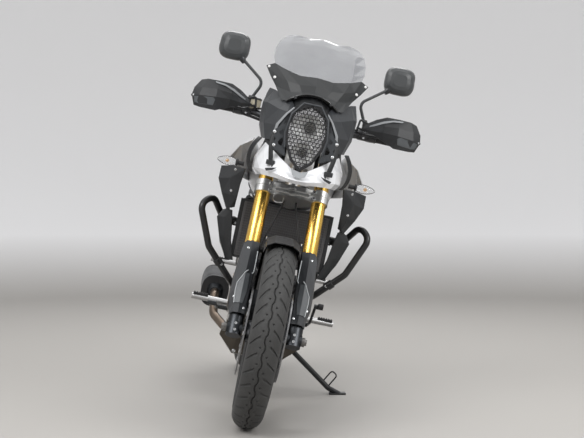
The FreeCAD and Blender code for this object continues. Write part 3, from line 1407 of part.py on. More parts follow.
hanger_place = (0, 1500, 560)
hanger_size = (80, 426, 242)
hanger_panel_shares = [
    [(0, 0, 0.934), (0.5, 0, 0.917), (0.9, 0, 0.86)],
    [(0, 0.357, 1), (0.525, 0.357, 0.975), (0.975, 0.352, 0.909)],
    [(0, 0.638, 0.884), (0.5, 0.629, 0.86), (0.925, 0.592, 0.793)],
    [(0, 0.836, 0.488), (0.425, 0.826, 0.479), (0.75, 0.798, 0.463)],
    [(0, 1, 0), (0.375, 0.991, 0.008), (0.65, 0.967, 0.025)],
]
rear_signal_place = (110, 1830, 690)


# Brake hoses down to the front calipers
hose_radius = 4
hose_route = [(86, 112, 436), (86, 158, 515), (72, 188, 620), (46, 206, 720), (24, 242, 790), (22, 256, 838)]


def make_hoses():
    hose = tube([Vector(*point) for point in hose_route], hose_radius, hose_radius * 12)
    hose = carved(hose, "triple_clamps", "front_calipers")
    nodes["brake_hoses"] = both_sides(hose.Solids[0])


def world_placement():
    """Lean about the tyres' crowns, then pitch a trace so that both still touch the ground."""
    lean = FreeCAD.Rotation(Vector(0, 1, 0), lean_angle)
    fall = 1 - math.cos(math.radians(lean_angle))
    front_lift = front_tyre_width / 2 * fall
    rear_lift = rear_tyre_width / 2 * fall
    pitch = FreeCAD.Rotation(Vector(1, 0, 0), math.degrees(math.atan2(rear_lift - front_lift, wheelbase)))
    return FreeCAD.Placement(Vector(0, 0, front_lift), pitch.multiply(lean))


def write_parts():
    os.makedirs("parts", exist_ok=True)
    placed = {}
    for name, shapes in nodes.items():
        pieces = []
        for shape in shapes:
            pieces += shape.Solids
        whole = Part.makeCompound(pieces) if len(pieces) > 1 else pieces[0]
        whole.Placement = stance.multiply(whole.Placement)
        placed[name] = whole
        if len(pieces) != len(shapes) or not whole.isValid():
            print("check", name, len(shapes), len(pieces), whole.isValid())
    bounds = FreeCAD.BoundBox()
    for shape in placed.values():
        bounds.add(shape.optimalBoundingBox(False))
    shift = Vector(-(bounds.XMin + bounds.XMax) / 2, -(bounds.YMin + bounds.YMax) / 2, 0)
    for name, shape in placed.items():
        shape.translate(shift)
        shape.exportStep(os.path.join("parts", name + ".step"))
    print("size", bounds.XLength, bounds.YLength, bounds.ZMin, bounds.ZMax, "shift", shift)


stance = world_placement()
make_wheels()
make_steering()
make_frame()
make_engine()
make_radiator()
make_exhaust()
make_tank()
make_seat()
make_subframe()
make_swingarm()
make_shock()
make_chain()
make_chain_guard()
make_stand()
make_nose()
make_crash_bars()
make_side_bodywork()
make_skid_plate()
make_footrests()
make_foot_controls()
make_tail()
make_hoses()
write_parts()
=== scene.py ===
import json
import math

import bmesh
import bpy
from mathutils import Matrix, Vector
from mathutils.bvhtree import BVHTree


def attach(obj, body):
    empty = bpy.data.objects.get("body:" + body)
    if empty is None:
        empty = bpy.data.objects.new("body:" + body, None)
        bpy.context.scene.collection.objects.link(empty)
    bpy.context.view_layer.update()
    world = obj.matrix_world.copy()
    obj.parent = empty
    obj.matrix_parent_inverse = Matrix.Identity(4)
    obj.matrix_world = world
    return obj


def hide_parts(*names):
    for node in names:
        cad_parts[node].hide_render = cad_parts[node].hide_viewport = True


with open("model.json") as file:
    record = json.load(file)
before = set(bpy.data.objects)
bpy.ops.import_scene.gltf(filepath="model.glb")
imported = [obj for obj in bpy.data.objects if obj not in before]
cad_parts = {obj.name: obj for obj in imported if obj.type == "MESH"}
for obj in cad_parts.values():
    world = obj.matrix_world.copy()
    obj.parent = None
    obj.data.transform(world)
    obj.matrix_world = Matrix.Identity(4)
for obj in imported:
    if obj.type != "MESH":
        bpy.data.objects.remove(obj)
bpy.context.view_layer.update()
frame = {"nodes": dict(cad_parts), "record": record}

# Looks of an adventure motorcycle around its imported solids. Pieces are drawn in the
# upright machine's millimetres (x to the rider's left, y to the rear, z up, front axle
# at 0, 0, axle_height) and then placed as the two wheel joints of the frame say.
MM = 0.001
wheelbase = 1555
axle_height = 329
rear_axle_height = 321
rake = math.radians(25.5)
trail = 109
fork_spread = 105
fork_offset = (axle_height * math.tan(rake) - trail) * math.cos(rake)
fork_way = Vector((0, math.sin(rake), math.cos(rake)))
fork_ahead = Vector((0, -math.cos(rake), math.sin(rake)))
front_hub = Vector((0, 0, axle_height))
rear_hub = Vector((0, wheelbase, rear_axle_height))
ACROSS = Vector((1, 0, 0))
REAR = Vector((0, 1, 0))
UP = Vector((0, 0, 1))
SIDES = (1, -1)
BOTH_WAYS = [(side, ACROSS * side) for side in SIDES]

nodes = frame["nodes"]
joints = {joint["name"]: joint for joint in frame["record"]["behaviour"]["joints"]}


def machine_matrix():
    """The upright machine's millimetres to the row frame's metres."""
    front = Vector(joints["front_wheel_spin"]["pos_m"])
    rear = Vector(joints["rear_wheel_spin"]["pos_m"])
    across = Vector(joints["front_wheel_spin"]["axis"]).normalized()
    line = rear - front
    line = (line - across * line.dot(across)).normalized()
    rise = across.cross(line)
    slope = math.atan2(rear_axle_height - axle_height, wheelbase)
    back = line * math.cos(slope) - rise * math.sin(slope)
    up = line * math.sin(slope) + rise * math.cos(slope)
    place = Matrix((across, back, up)).transposed().to_4x4() @ Matrix.Scale(MM, 4)
    place.translation = front - up * axle_height * MM
    return place


MACHINE = machine_matrix()
MACHINE_BACK = MACHINE.inverted()


def polar(radius, degrees):
    angle = math.radians(degrees)
    return radius * math.cos(angle), radius * math.sin(angle)


def circuit(steps):
    """Cosine and sine of equal steps once round."""
    angles = [2 * math.pi * k / steps for k in range(steps)]
    return [(math.cos(angle), math.sin(angle)) for angle in angles]


def at(side, x, y, z):
    """A place or a way on one side of the machine."""
    return Vector((side * x, y, z))


def on_side(side, *points):
    return [(side * x, *rest) for x, *rest in points]


def axes_for(way):
    """Two directions square to a way."""
    way = Vector(way).normalized()
    side = way.orthogonal().normalized()
    return side, way.cross(side)


# Meshes
class Shape:
    """Vertices and faces gathered for one object."""

    def __init__(self):
        self.points = []
        self.faces = []

    def add(self, points, faces):
        start = len(self.points)
        self.points.extend(Vector(point) for point in points)
        self.faces.extend(tuple(start + index for index in face) for face in faces)

    def rings(self, rings, caps=True):
        """Skins equal closed rings of points, one after another."""
        count = len(rings[0])
        last = (len(rings) - 1) * count
        faces = []
        for low in range(0, last, count):
            for column in range(count):
                after = (column + 1) % count
                faces.append((low + column, low + after, low + count + after, low + count + column))
        if caps:
            faces.append(tuple(reversed(range(count))))
            faces.append(tuple(last + index for index in range(count)))
        self.add([point for ring in rings for point in ring], faces)

    def turned(self, base, way, profile, steps=24, caps=True):
        """Turns (radius, along) pairs about a line."""
        base, way = Vector(base), Vector(way).normalized()
        side, other = axes_for(way)
        turns = circuit(steps)
        self.rings([[base + way * along + (side * c + other * s) * radius for c, s in turns]
                    for radius, along in profile], caps)

    def tube(self, points, radius, steps=12, caps=True):
        """A round cord through points, with its cross-section carried along without twist."""
        points = [Vector(point) for point in points]
        way = (points[1] - points[0]).normalized()
        side = way.orthogonal().normalized()
        rings = []
        for index, point in enumerate(points):
            before = points[max(index - 1, 0)]
            after = points[min(index + 1, len(points) - 1)]
            way = (after - before).normalized()
            side = (side - way * side.dot(way)).normalized()
            other = way.cross(side)
            rings.append([point + (side * c + other * s) * radius for c, s in circuit(steps)])
        self.rings(rings, caps)

    def block(self, centre, size):
        """A box about a centre."""
        half = Vector(size) / 2
        points = []
        for dz in (-1, 1):
            for dx, dy in ((-1, -1), (1, -1), (1, 1), (-1, 1)):
                points.append(Vector(centre) + Vector((dx * half.x, dy * half.y, dz * half.z)))
        self.add(points, [(3, 2, 1, 0), (4, 5, 6, 7), (0, 1, 5, 4), (1, 2, 6, 5), (2, 3, 7, 6), (3, 0, 4, 7)])

    def slab(self, outline, lift):
        """A flat outline thickened by a vector."""
        low = [Vector(point) for point in outline]
        self.rings([low, [point + lift for point in low]])


def shapes(count):
    return [Shape() for _ in range(count)]


def smooth_line(points, steps=8):
    """Points on a smooth curve through the given ones."""
    points = [Vector(point) for point in points]
    line = []
    for index, b in enumerate(points[:-1]):
        a = points[max(index - 1, 0)]
        c = points[index + 1]
        d = points[min(index + 2, len(points) - 1)]
        for step in range(steps):
            t = step / steps
            line.append(0.5 * (2 * b + (c - a) * t + (2 * a - 5 * b + 4 * c - d) * t * t
                               + (3 * b - a - 3 * c + d) * t ** 3))
    line.append(points[-1])
    return line


# Materials
def put(tree, node, **inputs):
    """Gives a node's inputs their values, or links them to outputs."""
    for name, value in inputs.items():
        socket = node.inputs[name.replace("_", " ")]
        if isinstance(value, bpy.types.NodeSocket):
            tree.links.new(value, socket)
        else:
            socket.default_value = value


def new_node(tree, kind, **inputs):
    node = tree.nodes.new("ShaderNode" + kind)
    put(tree, node, **inputs)
    return node


class Look:
    """A procedural material built around one shader."""

    def __init__(self, name):
        self.material = bpy.data.materials.new(name)
        self.material.use_nodes = True
        self.tree = self.material.node_tree
        self.place = new_node(self.tree, "TexCoord").outputs["Object"]

    def put(self, **inputs):
        put(self.tree, self.tree.nodes["Principled BSDF"], **inputs)

    def noise(self, scale, detail=4, rough=0.55, stretch=None):
        place = self.place
        if stretch:
            place = new_node(self.tree, "Mapping", Vector=place, Scale=stretch).outputs["Vector"]
        node = new_node(self.tree, "TexNoise", Vector=place, Scale=scale, Detail=detail, Roughness=rough)
        return node.outputs["Fac"]

    def span(self, value, low, high, from_low=0.3, from_high=0.7):
        node = new_node(self.tree, "MapRange", Value=value, From_Min=from_low, From_Max=from_high,
                        To_Min=low, To_Max=high)
        return node.outputs["Result"]

    def ramp(self, value, stops):
        node = new_node(self.tree, "ValToRGB", Fac=value)
        elements = node.color_ramp.elements
        while len(elements) < len(stops):
            elements.new(0.5)
        for element, (position, colour) in zip(elements, stops):
            element.position = position
            element.color = (*colour, 1)
        return node.outputs["Color"]

    def mottled(self, colour, noise, *stops):
        """A colour that drifts between shades of itself."""
        return self.ramp(self.noise(*noise), [(place, shade(colour, factor)) for place, factor in stops])

    def worn(self, colour, edge_colour, low=0.52, high=0.6):
        """Paler where the surface turns sharply outward."""
        pointed = new_node(self.tree, "NewGeometry").outputs["Pointiness"]
        mix = new_node(self.tree, "Mix")
        mix.data_type = "RGBA"
        put(self.tree, mix, Factor=self.span(pointed, 0.0, 1.0, low, high))
        self.tree.links.new(colour, mix.inputs[6])
        mix.inputs[7].default_value = (*edge_colour, 1)
        return mix.outputs[2]

    def bump(self, output, distance, strength):
        node = new_node(self.tree, "Bump", Strength=strength, Distance=distance, Height=output)
        self.put(Normal=node.outputs["Normal"])


def shade(colour, factor):
    return tuple(min(1.0, channel * factor) for channel in colour)


def plastic(name, colour, rough, grain_scale=900, grain=0.00012, edge=1.6, coat=0.0):
    """Moulded plastic: fine grain, faint mottling, paler edges."""
    look = Look(name)
    mottled = look.mottled(colour, (6, 3), (0.3, 0.86), (0.7, 1.14))
    fine = look.noise(grain_scale, 2)
    look.put(Base_Color=look.worn(mottled, shade(colour, edge), 0.53, 0.66), Coat_Weight=coat,
             Coat_Roughness=0.06, Roughness=look.span(fine, max(rough - 0.06, 0.02), min(rough + 0.08, 1.0)))
    look.bump(fine, grain, 0.5)
    return look.material


def metal(name, colour, rough, stretch=None, scale=160, depth=0.00008, edge=1.35, metallic=1.0, dirt=0.8,
          bright=1.1, vary=0.08):
    """Metal with a drawn, cast or blasted surface."""
    look = Look(name)
    base = look.mottled(colour, (9, 4), (0.28, dirt), (0.72, bright))
    fine = look.noise(scale, 5, 0.6, stretch)
    look.put(Base_Color=look.worn(base, shade(colour, edge)), Metallic=metallic,
             Roughness=look.span(fine, max(rough - vary, 0.03), min(rough + vary * 1.25, 1.0)))
    look.bump(fine, depth, 0.6)
    return look.material


def paint(name, colour):
    """Sprayed paint under lacquer, with faint orange peel."""
    look = Look(name)
    peel = look.noise(260, 2)
    look.put(Base_Color=look.mottled(colour, (4, 2), (0.35, 0.975), (0.65, 1.0)), Coat_Weight=0.8,
             Coat_Roughness=0.04, Roughness=look.span(peel, 0.19, 0.26))
    look.bump(peel, 0.00006, 0.25)
    return look.material


def clear(name, colour, rough, weight, alpha=1.0):
    """See-through moulding: tinted, with faint wipe marks."""
    look = Look(name)
    wipe = look.noise(60, 4, 0.6, (1, 1, 6))
    look.put(Base_Color=look.mottled(colour, (7, 3), (0.3, 0.92), (0.7, 1.05)), Alpha=alpha,
             Roughness=look.span(wipe, rough, rough + 0.03), Transmission_Weight=weight, IOR=1.49)
    return look.material


def rubber(name, colour, rough):
    """Rubber with a bloom of dust in its low places."""
    look = Look(name)
    dusty = tuple(a + (b - a) * 0.25 for a, b in zip(colour, (0.10, 0.095, 0.088)))
    wide = look.ramp(look.noise(14, 6, 0.65), ((0.3, colour), (0.62, shade(colour, 1.25)), (0.95, dusty)))
    fine = look.noise(420, 3)
    look.put(Base_Color=wide, Roughness=look.span(fine, rough - 0.08, min(rough + 0.1, 1)))
    look.bump(fine, 0.00015, 0.5)
    return look.material


def weave(name, colour, rough):
    """Coated cloth with a fine pebbled grain."""
    look = Look(name)
    cells = new_node(look.tree, "TexVoronoi", Vector=look.place, Scale=420).outputs["Distance"]
    look.put(Base_Color=look.mottled(colour, (8, 4), (0.3, 0.8), (0.7, 1.2)),
             Roughness=look.span(cells, rough - 0.1, rough + 0.08, 0.0, 0.7))
    look.bump(cells, 0.0004, 0.6)
    return look.material


black_plastic = plastic("moulded_black", (0.015, 0.016, 0.0175), 0.46)
satin_black = plastic("satin_black", (0.018, 0.019, 0.021), 0.32, 1300, 0.00005)
grey_plastic = plastic("moulded_grey", (0.020, 0.022, 0.025), 0.55)
gloss_black = plastic("gloss_black", (0.010, 0.011, 0.012), 0.10, 300, 0.00001, 1.3, 0.6)
white_paint = paint("white_paint", (0.80, 0.81, 0.83))
tank_paint = paint("tank_paint", (0.78, 0.79, 0.81))
dark_alloy = metal("dark_cast_alloy", (0.085, 0.087, 0.092), 0.42, None, 500, 0.0002, 1.8)
silver_cast = metal("silver_cast", (0.62, 0.62, 0.61), 0.36, None, 420, 0.00018, 1.2)
steel = metal("bright_steel", (0.56, 0.57, 0.58), 0.24, (1, 12, 1), 300, 0.00004)
dark_steel = metal("dark_steel", (0.16, 0.155, 0.15), 0.34, (1, 10, 1), 300, 0.00004)
bronze_steel = metal("heated_steel", (0.21, 0.165, 0.13), 0.34, (8, 1, 1), 200, 0.00004, 1.3, 1.0, 0.55)
gold_tube = metal("gold_anodised", (0.83, 0.52, 0.12), 0.25, None, 14, 0.0, 1.0, 1.0, 0.96, 1.0, 0.02)
powder_black = plastic("powder_coat", (0.011, 0.011, 0.012), 0.32, 700, 0.00015, 1.8)
chrome = metal("chrome", (0.86, 0.87, 0.88), 0.06, None, 80, 0.00001, 1.05, 1.0, 0.95)
tyre_rubber = rubber("tyre_rubber", (0.033, 0.033, 0.0325), 0.66)
soft_rubber = rubber("soft_rubber", (0.017, 0.017, 0.018), 0.62)
seat_cloth = weave("seat_cover", (0.032, 0.032, 0.034), 0.62)
lens_clear = clear("clear_lens", (0.95, 0.96, 0.95), 0.03, 0.5, 0.1)
screen_clear = clear("smoked_screen", (0.50, 0.51, 0.53), 0.02, 0.97)
red_lens = clear("red_lens", (0.62, 0.02, 0.02), 0.12, 0.35)
fin_black = metal("radiator_core", (0.14, 0.14, 0.145), 0.5, (1, 1, 40), 300, 0.0003)
disc_steel = metal("disc_steel", (0.24, 0.24, 0.245), 0.30, None, 700, 0.00005)
bowl_silver = metal("lamp_bowl", (0.96, 0.96, 0.95), 0.46, None, 120, 0.00001, 1.02, 0.85, 0.98)
leg_black = metal("leg_black", (0.035, 0.037, 0.040), 0.40, None, 500, 0.00012, 1.8)
peg_silver = metal("peg_silver", (0.42, 0.42, 0.42), 0.38, None, 420, 0.00015, 1.2)
cowl_black = plastic("cowl_black", (0.021, 0.023, 0.026), 0.46)
ear_black = plastic("ear_black", (0.028, 0.031, 0.035), 0.42)
rim_edge = metal("rim_edge", (0.36, 0.36, 0.37), 0.26, None, 300, 0.00004)
satin_chrome = metal("satin_chrome", (0.70, 0.70, 0.71), 0.17, None, 200, 0.00002)
warm_glass = clear("projector_glass", (0.98, 0.94, 0.78), 0.03, 0.92)
guard_grey = plastic("guard_grey", (0.075, 0.082, 0.088), 0.42)
pale_grey = plastic("pale_grey", (0.24, 0.25, 0.26), 0.40)
# A pale grey for tubes along the fork guards' edges: a painted highlight of their bevels.
painted_edge_highlight = plastic("painted_edge_highlight", (0.42, 0.44, 0.45), 0.34)
pale_nylon = plastic("pale_nylon", (0.66, 0.66, 0.65), 0.36)
red_paint = paint("red_paint", (0.55, 0.02, 0.015))
display_glass = plastic("display_glass", (0.020, 0.022, 0.024), 0.07, 200, 0.00001, 1.2, 0.8)
matt_black = plastic("matt_black", (0.012, 0.012, 0.013), 0.62)
smoked_plastic = clear("fluid_plastic", (0.74, 0.68, 0.52), 0.22, 0.5)
amber_glass = clear("amber_glass", (0.90, 0.62, 0.30), 0.08, 0.7)
bronze_alloy = metal("bronze_alloy", (0.24, 0.19, 0.15), 0.40, None, 400, 0.00012)
brown_steel = metal("brown_steel", (0.075, 0.066, 0.056), 0.46, None, 300, 0.0001)
base_grey = plastic("screen_base", (0.013, 0.0145, 0.0155), 0.48, 900, 0.00005)
mirror_shell = plastic("mirror_shell", (0.046, 0.049, 0.051), 0.36, 1300, 0.00005)
seat_thread = plastic("seat_thread", (0.055, 0.055, 0.058), 0.6)

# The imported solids' looks; a node that isn't named is black plastic
LOOK_NODES = (
    (soft_rubber, "brake_hoses grips"), (dark_steel, "chain front_axle"),
    (white_paint, "front_beak tank_shrouds"), (bronze_steel, "exhaust_headers"), (peg_silver, "footrests"),
    (powder_black, "crash_bars fairing_stay headlight_guard rear_rack rear_shock rear_subframe side_stand "
                   "stand_bracket"),
    (dark_alloy, "engine_cases engine_cylinders front_rim handlebar rear_caliper rear_rim"),
    (leg_black, "fork_lower_legs front_calipers muffler"), (gold_tube, "fork_outer_tubes"),
    (grey_plastic, "fork_guards"),
    (steel, "front_discs rear_disc_and_sprocket rear_spindles"), (matt_black, "front_fender"),
    (tyre_rubber, "front_tyre rear_tyre"), (tank_paint, "fuel_tank"), (cowl_black, "headlight_cowl"),
    (lens_clear, "headlight_lens turn_signals"), (satin_black, "instrument_panel levers foot_controls"),
    (silver_cast, "main_frame swingarm triple_clamps"), (mirror_shell, "mirrors"), (fin_black, "radiator"),
    (seat_cloth, "seat"), (brown_steel, "skid_plate"), (red_lens, "tail_light"), (screen_clear, "windscreen"),
    (base_grey, "windscreen_base"),
)
node_looks = {name: look for look, names in LOOK_NODES for name in names.split()}
for name, obj in nodes.items():
    for place in obj.material_slots:
        place.material = node_looks.get(name, black_plastic)

weld_distance = 0.000002
bevel_angle = math.radians(35)


def piece(name, shape, body, material, smooth=30, bevel=0.0, slot=None, sub=0, weld=True):
    """An object from a shape, riding on a body, with its material; its slot argument is not used."""
    mesh = bpy.data.meshes.new(name)
    mesh.from_pydata([MACHINE @ point for point in shape.points], [], shape.faces)
    mesh.update()
    work = bmesh.new()
    work.from_mesh(mesh)
    if weld:
        bmesh.ops.remove_doubles(work, verts=work.verts, dist=weld_distance)
    bmesh.ops.recalc_face_normals(work, faces=work.faces)
    work.to_mesh(mesh)
    work.free()
    obj = bpy.data.objects.new(name, mesh)
    bpy.context.scene.collection.objects.link(obj)
    mesh.materials.append(material)
    if bevel:
        edge = obj.modifiers.new("edge", "BEVEL")
        edge.width = bevel * MM
        edge.segments = 2
        edge.limit_method = "ANGLE"
        edge.angle_limit = bevel_angle
        edge.harden_normals = False
    if sub:
        round_off = obj.modifiers.new("round", "SUBSURF")
        round_off.levels = round_off.render_levels = sub
    if smooth:
        mesh.shade_smooth()
        mesh.set_sharp_from_angle(angle=math.radians(smooth))
    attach(obj, body)
    return obj


def pieces(body, *rows):
    """Makes pieces of one body, each from a row of name, shape, material and what else piece takes."""
    return [piece(name, shape, body, *rest) for name, shape, *rest in rows]


def fork_point(x, along, ahead=0):
    """Point in the fork's own measures: along the legs, and ahead of them."""
    return front_hub + ACROSS * x + fork_way * along + fork_ahead * ahead


bar_centre = fork_point(0, 756, -fork_offset * 0.7) + Vector((0, 72.2, 97.7))
grip_length, switch_width = 125, 34
switch_inboard = grip_length + switch_width / 2
perch_inboard = grip_length + switch_width + 17


def bar_end(side):
    return bar_centre + at(side, 402, 80, 32)


def bar_way(side):
    return (bar_end(side) - (bar_centre + at(side, 205, 36, 28.8))).normalized()


def on_bar(side, inboard):
    """Point on the bar, a distance inboard from its end."""
    return bar_end(side) - bar_way(side) * inboard


def circle(radius, steps=24, centre=(0, 0)):
    return [(centre[0] + radius * c, centre[1] + radius * s) for c, s in circuit(steps)]


def squircle(half_u, half_v, power=3.2, steps=40):
    bend = 2 / power
    return [(half_u * math.copysign(abs(c) ** bend, c), half_v * math.copysign(abs(s) ** bend, s))
            for c, s in circuit(steps)]


def rounded(points, radius):
    """A closed outline with its corners rounded."""
    out = []
    count, steps = len(points), 4
    for k in range(count):
        a, b, c = (Vector(points[(k + d) % count]) for d in (-1, 0, 1))
        near = min(radius, (a - b).length / 2.2, (c - b).length / 2.2)
        start, end = b + (a - b).normalized() * near, b + (c - b).normalized() * near
        for step in range(steps + 1):
            t = step / steps
            out.append(start * (1 - t) ** 2 + b * 2 * t * (1 - t) + end * t * t)
    return out


def sheet_on(shape, loops, thickness, origin, u=REAR, v=UP):
    """Adds a sheet cut to the first loop, the others being holes, with its flat along u and v."""
    curve = bpy.data.curves.new("cut", "CURVE")
    curve.dimensions = "2D"
    curve.fill_mode = "BOTH"
    curve.extrude = thickness / 2
    for loop in loops:
        line = curve.splines.new("POLY")
        line.points.add(len(loop) - 1)
        for point, (a, b) in zip(line.points, loop):
            point.co = (a, b, 0, 1)
        line.use_cyclic_u = True
    holder = bpy.data.objects.new("cut", curve)
    mesh = bpy.data.meshes.new_from_object(holder)
    u, v = Vector(u).normalized(), Vector(v).normalized()
    w = u.cross(v)
    places = [tuple(vertex.co) for vertex in mesh.vertices]
    shape.add([Vector(origin) + u * a + v * b + w * c for a, b, c in places],
              [tuple(face.vertices) for face in mesh.polygons])
    bpy.data.objects.remove(holder)
    bpy.data.meshes.remove(mesh)
    bpy.data.curves.remove(curve)


def scaled(size, *profile):
    return [(size * radius, size * along) for radius, along in profile]


def bolt(shape, base, way, radius):
    """A hexagon head on a washer."""
    base, way = Vector(base), Vector(way).normalized()
    shape.turned(base, way, scaled(radius, (1.5, 0), (1.5, 0.22), (1.3, 0.3)), 20)
    shape.turned(base + way * radius * 0.3, way, scaled(radius, (1, 0), (1, 0.65), (0.86, 0.82)), 6)


def socket_bolt(shape, base, way, radius):
    """A round head with a hexagon socket."""
    shape.turned(base, way, scaled(radius, (1.25, 0), (1.25, 0.12), (1, 0.16), (1, 0.8), (0.88, 0.92),
                                   (0.56, 0.92), (0.5, 0.4), (0.1, 0.4)), 18)


def dome(shape, base, way, radius, height):
    shape.turned(base, way, [(radius, 0), (radius * 0.96, height * 0.4), (radius * 0.75, height * 0.8),
                             (radius * 0.35, height)], 20)


def band(shape, base, way, inner, outer, stops, steps=32):
    """An open collar with sloped ends, between four stops along its way."""
    radii = (inner, outer, outer, inner)
    shape.turned(base, way, list(zip(radii, stops)), steps, False)


# Tyres: a road tread cut into the crown. Its measures are millimetres across the crown,
# and shares of one period round the tyre.
tread_steps = 26
groove_depth = 5.0
wave_swing, wave_ripple, wave_half, wave_flank = 4.2, 1.0, 2.7, 1.1
hole_reach, hole_radius, hole_flank = 13.5, 3.3, 1.2
sipe_start, sipe_margin, sipe_half, sipe_taper, sipe_depth = 17, 25, 3.9, 1.2, 0.9


def clipped(value):
    return max(0.0, min(1.0, value))


def tread_depth(phase, across, pitch, half_tread):
    """Depth of the tread's grooves at a place on the crown."""
    wave = wave_swing * math.asin(math.sin(2 * math.pi * phase)) / (math.pi / 2)
    wave += wave_ripple * math.sin(6 * math.pi * phase)
    depth = clipped((wave_half - abs(across - wave)) / wave_flank)
    hole_phase, sipe_phase = (0.75, 0.1) if across > 0 else (0.25, 0.6)
    reach = abs(across)
    along = (phase - hole_phase + 0.5) % 1 - 0.5
    hole = math.hypot(along * pitch, reach - hole_reach)
    depth = max(depth, clipped((hole_radius - hole) / hole_flank))
    run = (reach - sipe_start) / (half_tread - sipe_margin)
    if 0 < run < 1:
        line = (phase - sipe_phase - (0.55 * run + 0.12 * run * run) + 0.5) % 1 - 0.5
        half = sipe_half - sipe_taper * run
        cut = clipped((half - abs(line) * pitch * 0.8) / 1.1) * clipped(run * 12) * clipped((1 - run) * 8)
        depth = max(depth, cut * sipe_depth)
    return depth * groove_depth


def tyre_section(radius, width, rim_radius):
    """(radius, out, across or None) round half a section, from the crown down to the bead."""
    crown = width / 2
    half_tread = crown * math.radians(72)
    fine_step, fine_count, fine_end = 1.35, 13, 16.2
    places = [k * fine_step for k in range(fine_count)]
    rest = 24 if width < 130 else 30
    places += [fine_end + (half_tread - fine_end) * k / rest for k in range(1, rest + 1)]
    section = [(radius - crown + crown * math.cos(place / crown), crown * math.sin(place / crown), place)
               for place in places]
    wall = [section[-1][:2], (radius - crown * 1.15, crown * 0.99),
            (rim_radius * 0.65 + (radius - crown) * 0.35, crown * 0.86),
            (rim_radius + 7, crown * 0.66), (rim_radius + 1.5, crown * 0.62), (rim_radius, crown * 0.58)]
    section += [(r, out, None) for r, out, _ in smooth_line([(*point, 0) for point in wall], 2)[1:]]
    return section, half_tread


def make_tyre(name, node, body, hub, radius, width, rim_radius, periods):
    half, half_tread = tyre_section(radius, width, rim_radius)
    full = [(r, -out, None if across is None else -across) for r, out, across in reversed(half[1:])] + half
    around = periods * tread_steps
    pitch = 2 * math.pi * radius / periods
    points, faces = [], []
    count = len(full)
    for column, (c, s) in enumerate(circuit(around)):
        phase = column / tread_steps
        for r, out, across in full:
            if across is not None:
                r -= tread_depth(phase % 1, across, pitch, half_tread)
            points.append((hub.x + out, hub.y + r * c, hub.z + r * s))
        low, high = column * count, (column + 1) % around * count
        for k in range(count):
            after = (k + 1) % count
            faces.append((low + k, high + k, high + after, low + after))
    shape, ribs = shapes(2)
    shape.add(points, faces)
    tyre = piece(name, shape, body, tyre_rubber, 50, weld=False)
    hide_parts(node)
    for side in SIDES:
        for height, reach, size in ((rim_radius * 0.65 + (radius - width / 2) * 0.35, width * 0.433, 1.2),
                                    (radius - width * 0.575, width * 0.496, 0.9)):
            rings = []
            for c, s in circuit(120):
                spot = Vector((hub.x + side * (reach + 0.4), hub.y + height * c, hub.z + height * s))
                out = (spot - hub).normalized()
                rings.append([spot + at(side, size * a, 0, 0) + out * size * b for a, b in circuit(4)])
            ribs.rings(rings + rings[:1], False)
    piece(name + "_ribs", ribs, body, tyre_rubber, 60)


# Brake discs, sprocket and hubs
def drilled(radius, inner, rows, per_row, hole):
    """A ring's loops, with rows of holes."""
    loops = [circle(radius, 120), circle(inner, 96)]
    for row, reach in enumerate(rows):
        for k in range(per_row):
            angle = 2 * math.pi * (k + row / len(rows)) / per_row
            loops.append(circle(hole, 10, (reach * math.cos(angle), reach * math.sin(angle))))
    return loops


def carrier(reach, bore, lobes, depth):
    """The loops of an openwork star between a hub and a disc."""
    outer = []
    for k in range(lobes * 8):
        angle = 2 * math.pi * k / (lobes * 8)
        swell = 0.5 + 0.5 * math.cos(angle * lobes)
        size = reach - depth * (1 - swell)
        outer.append((size * math.cos(angle), size * math.sin(angle)))
    loops = [outer, circle(bore, 40)]
    half = lobes // 2
    low, high = bore + 14, reach - depth - 9
    spread = math.pi / half * 0.62
    for k in range(half):
        middle = 2 * math.pi * (k + 0.5) / half
        corners = ((low, -spread * 0.6), (high, -spread), (high, 0), (high, spread), (low, spread * 0.6))
        loops.append(rounded([(size * math.cos(middle + turn), size * math.sin(middle + turn))
                              for size, turn in corners], 6))
    return loops


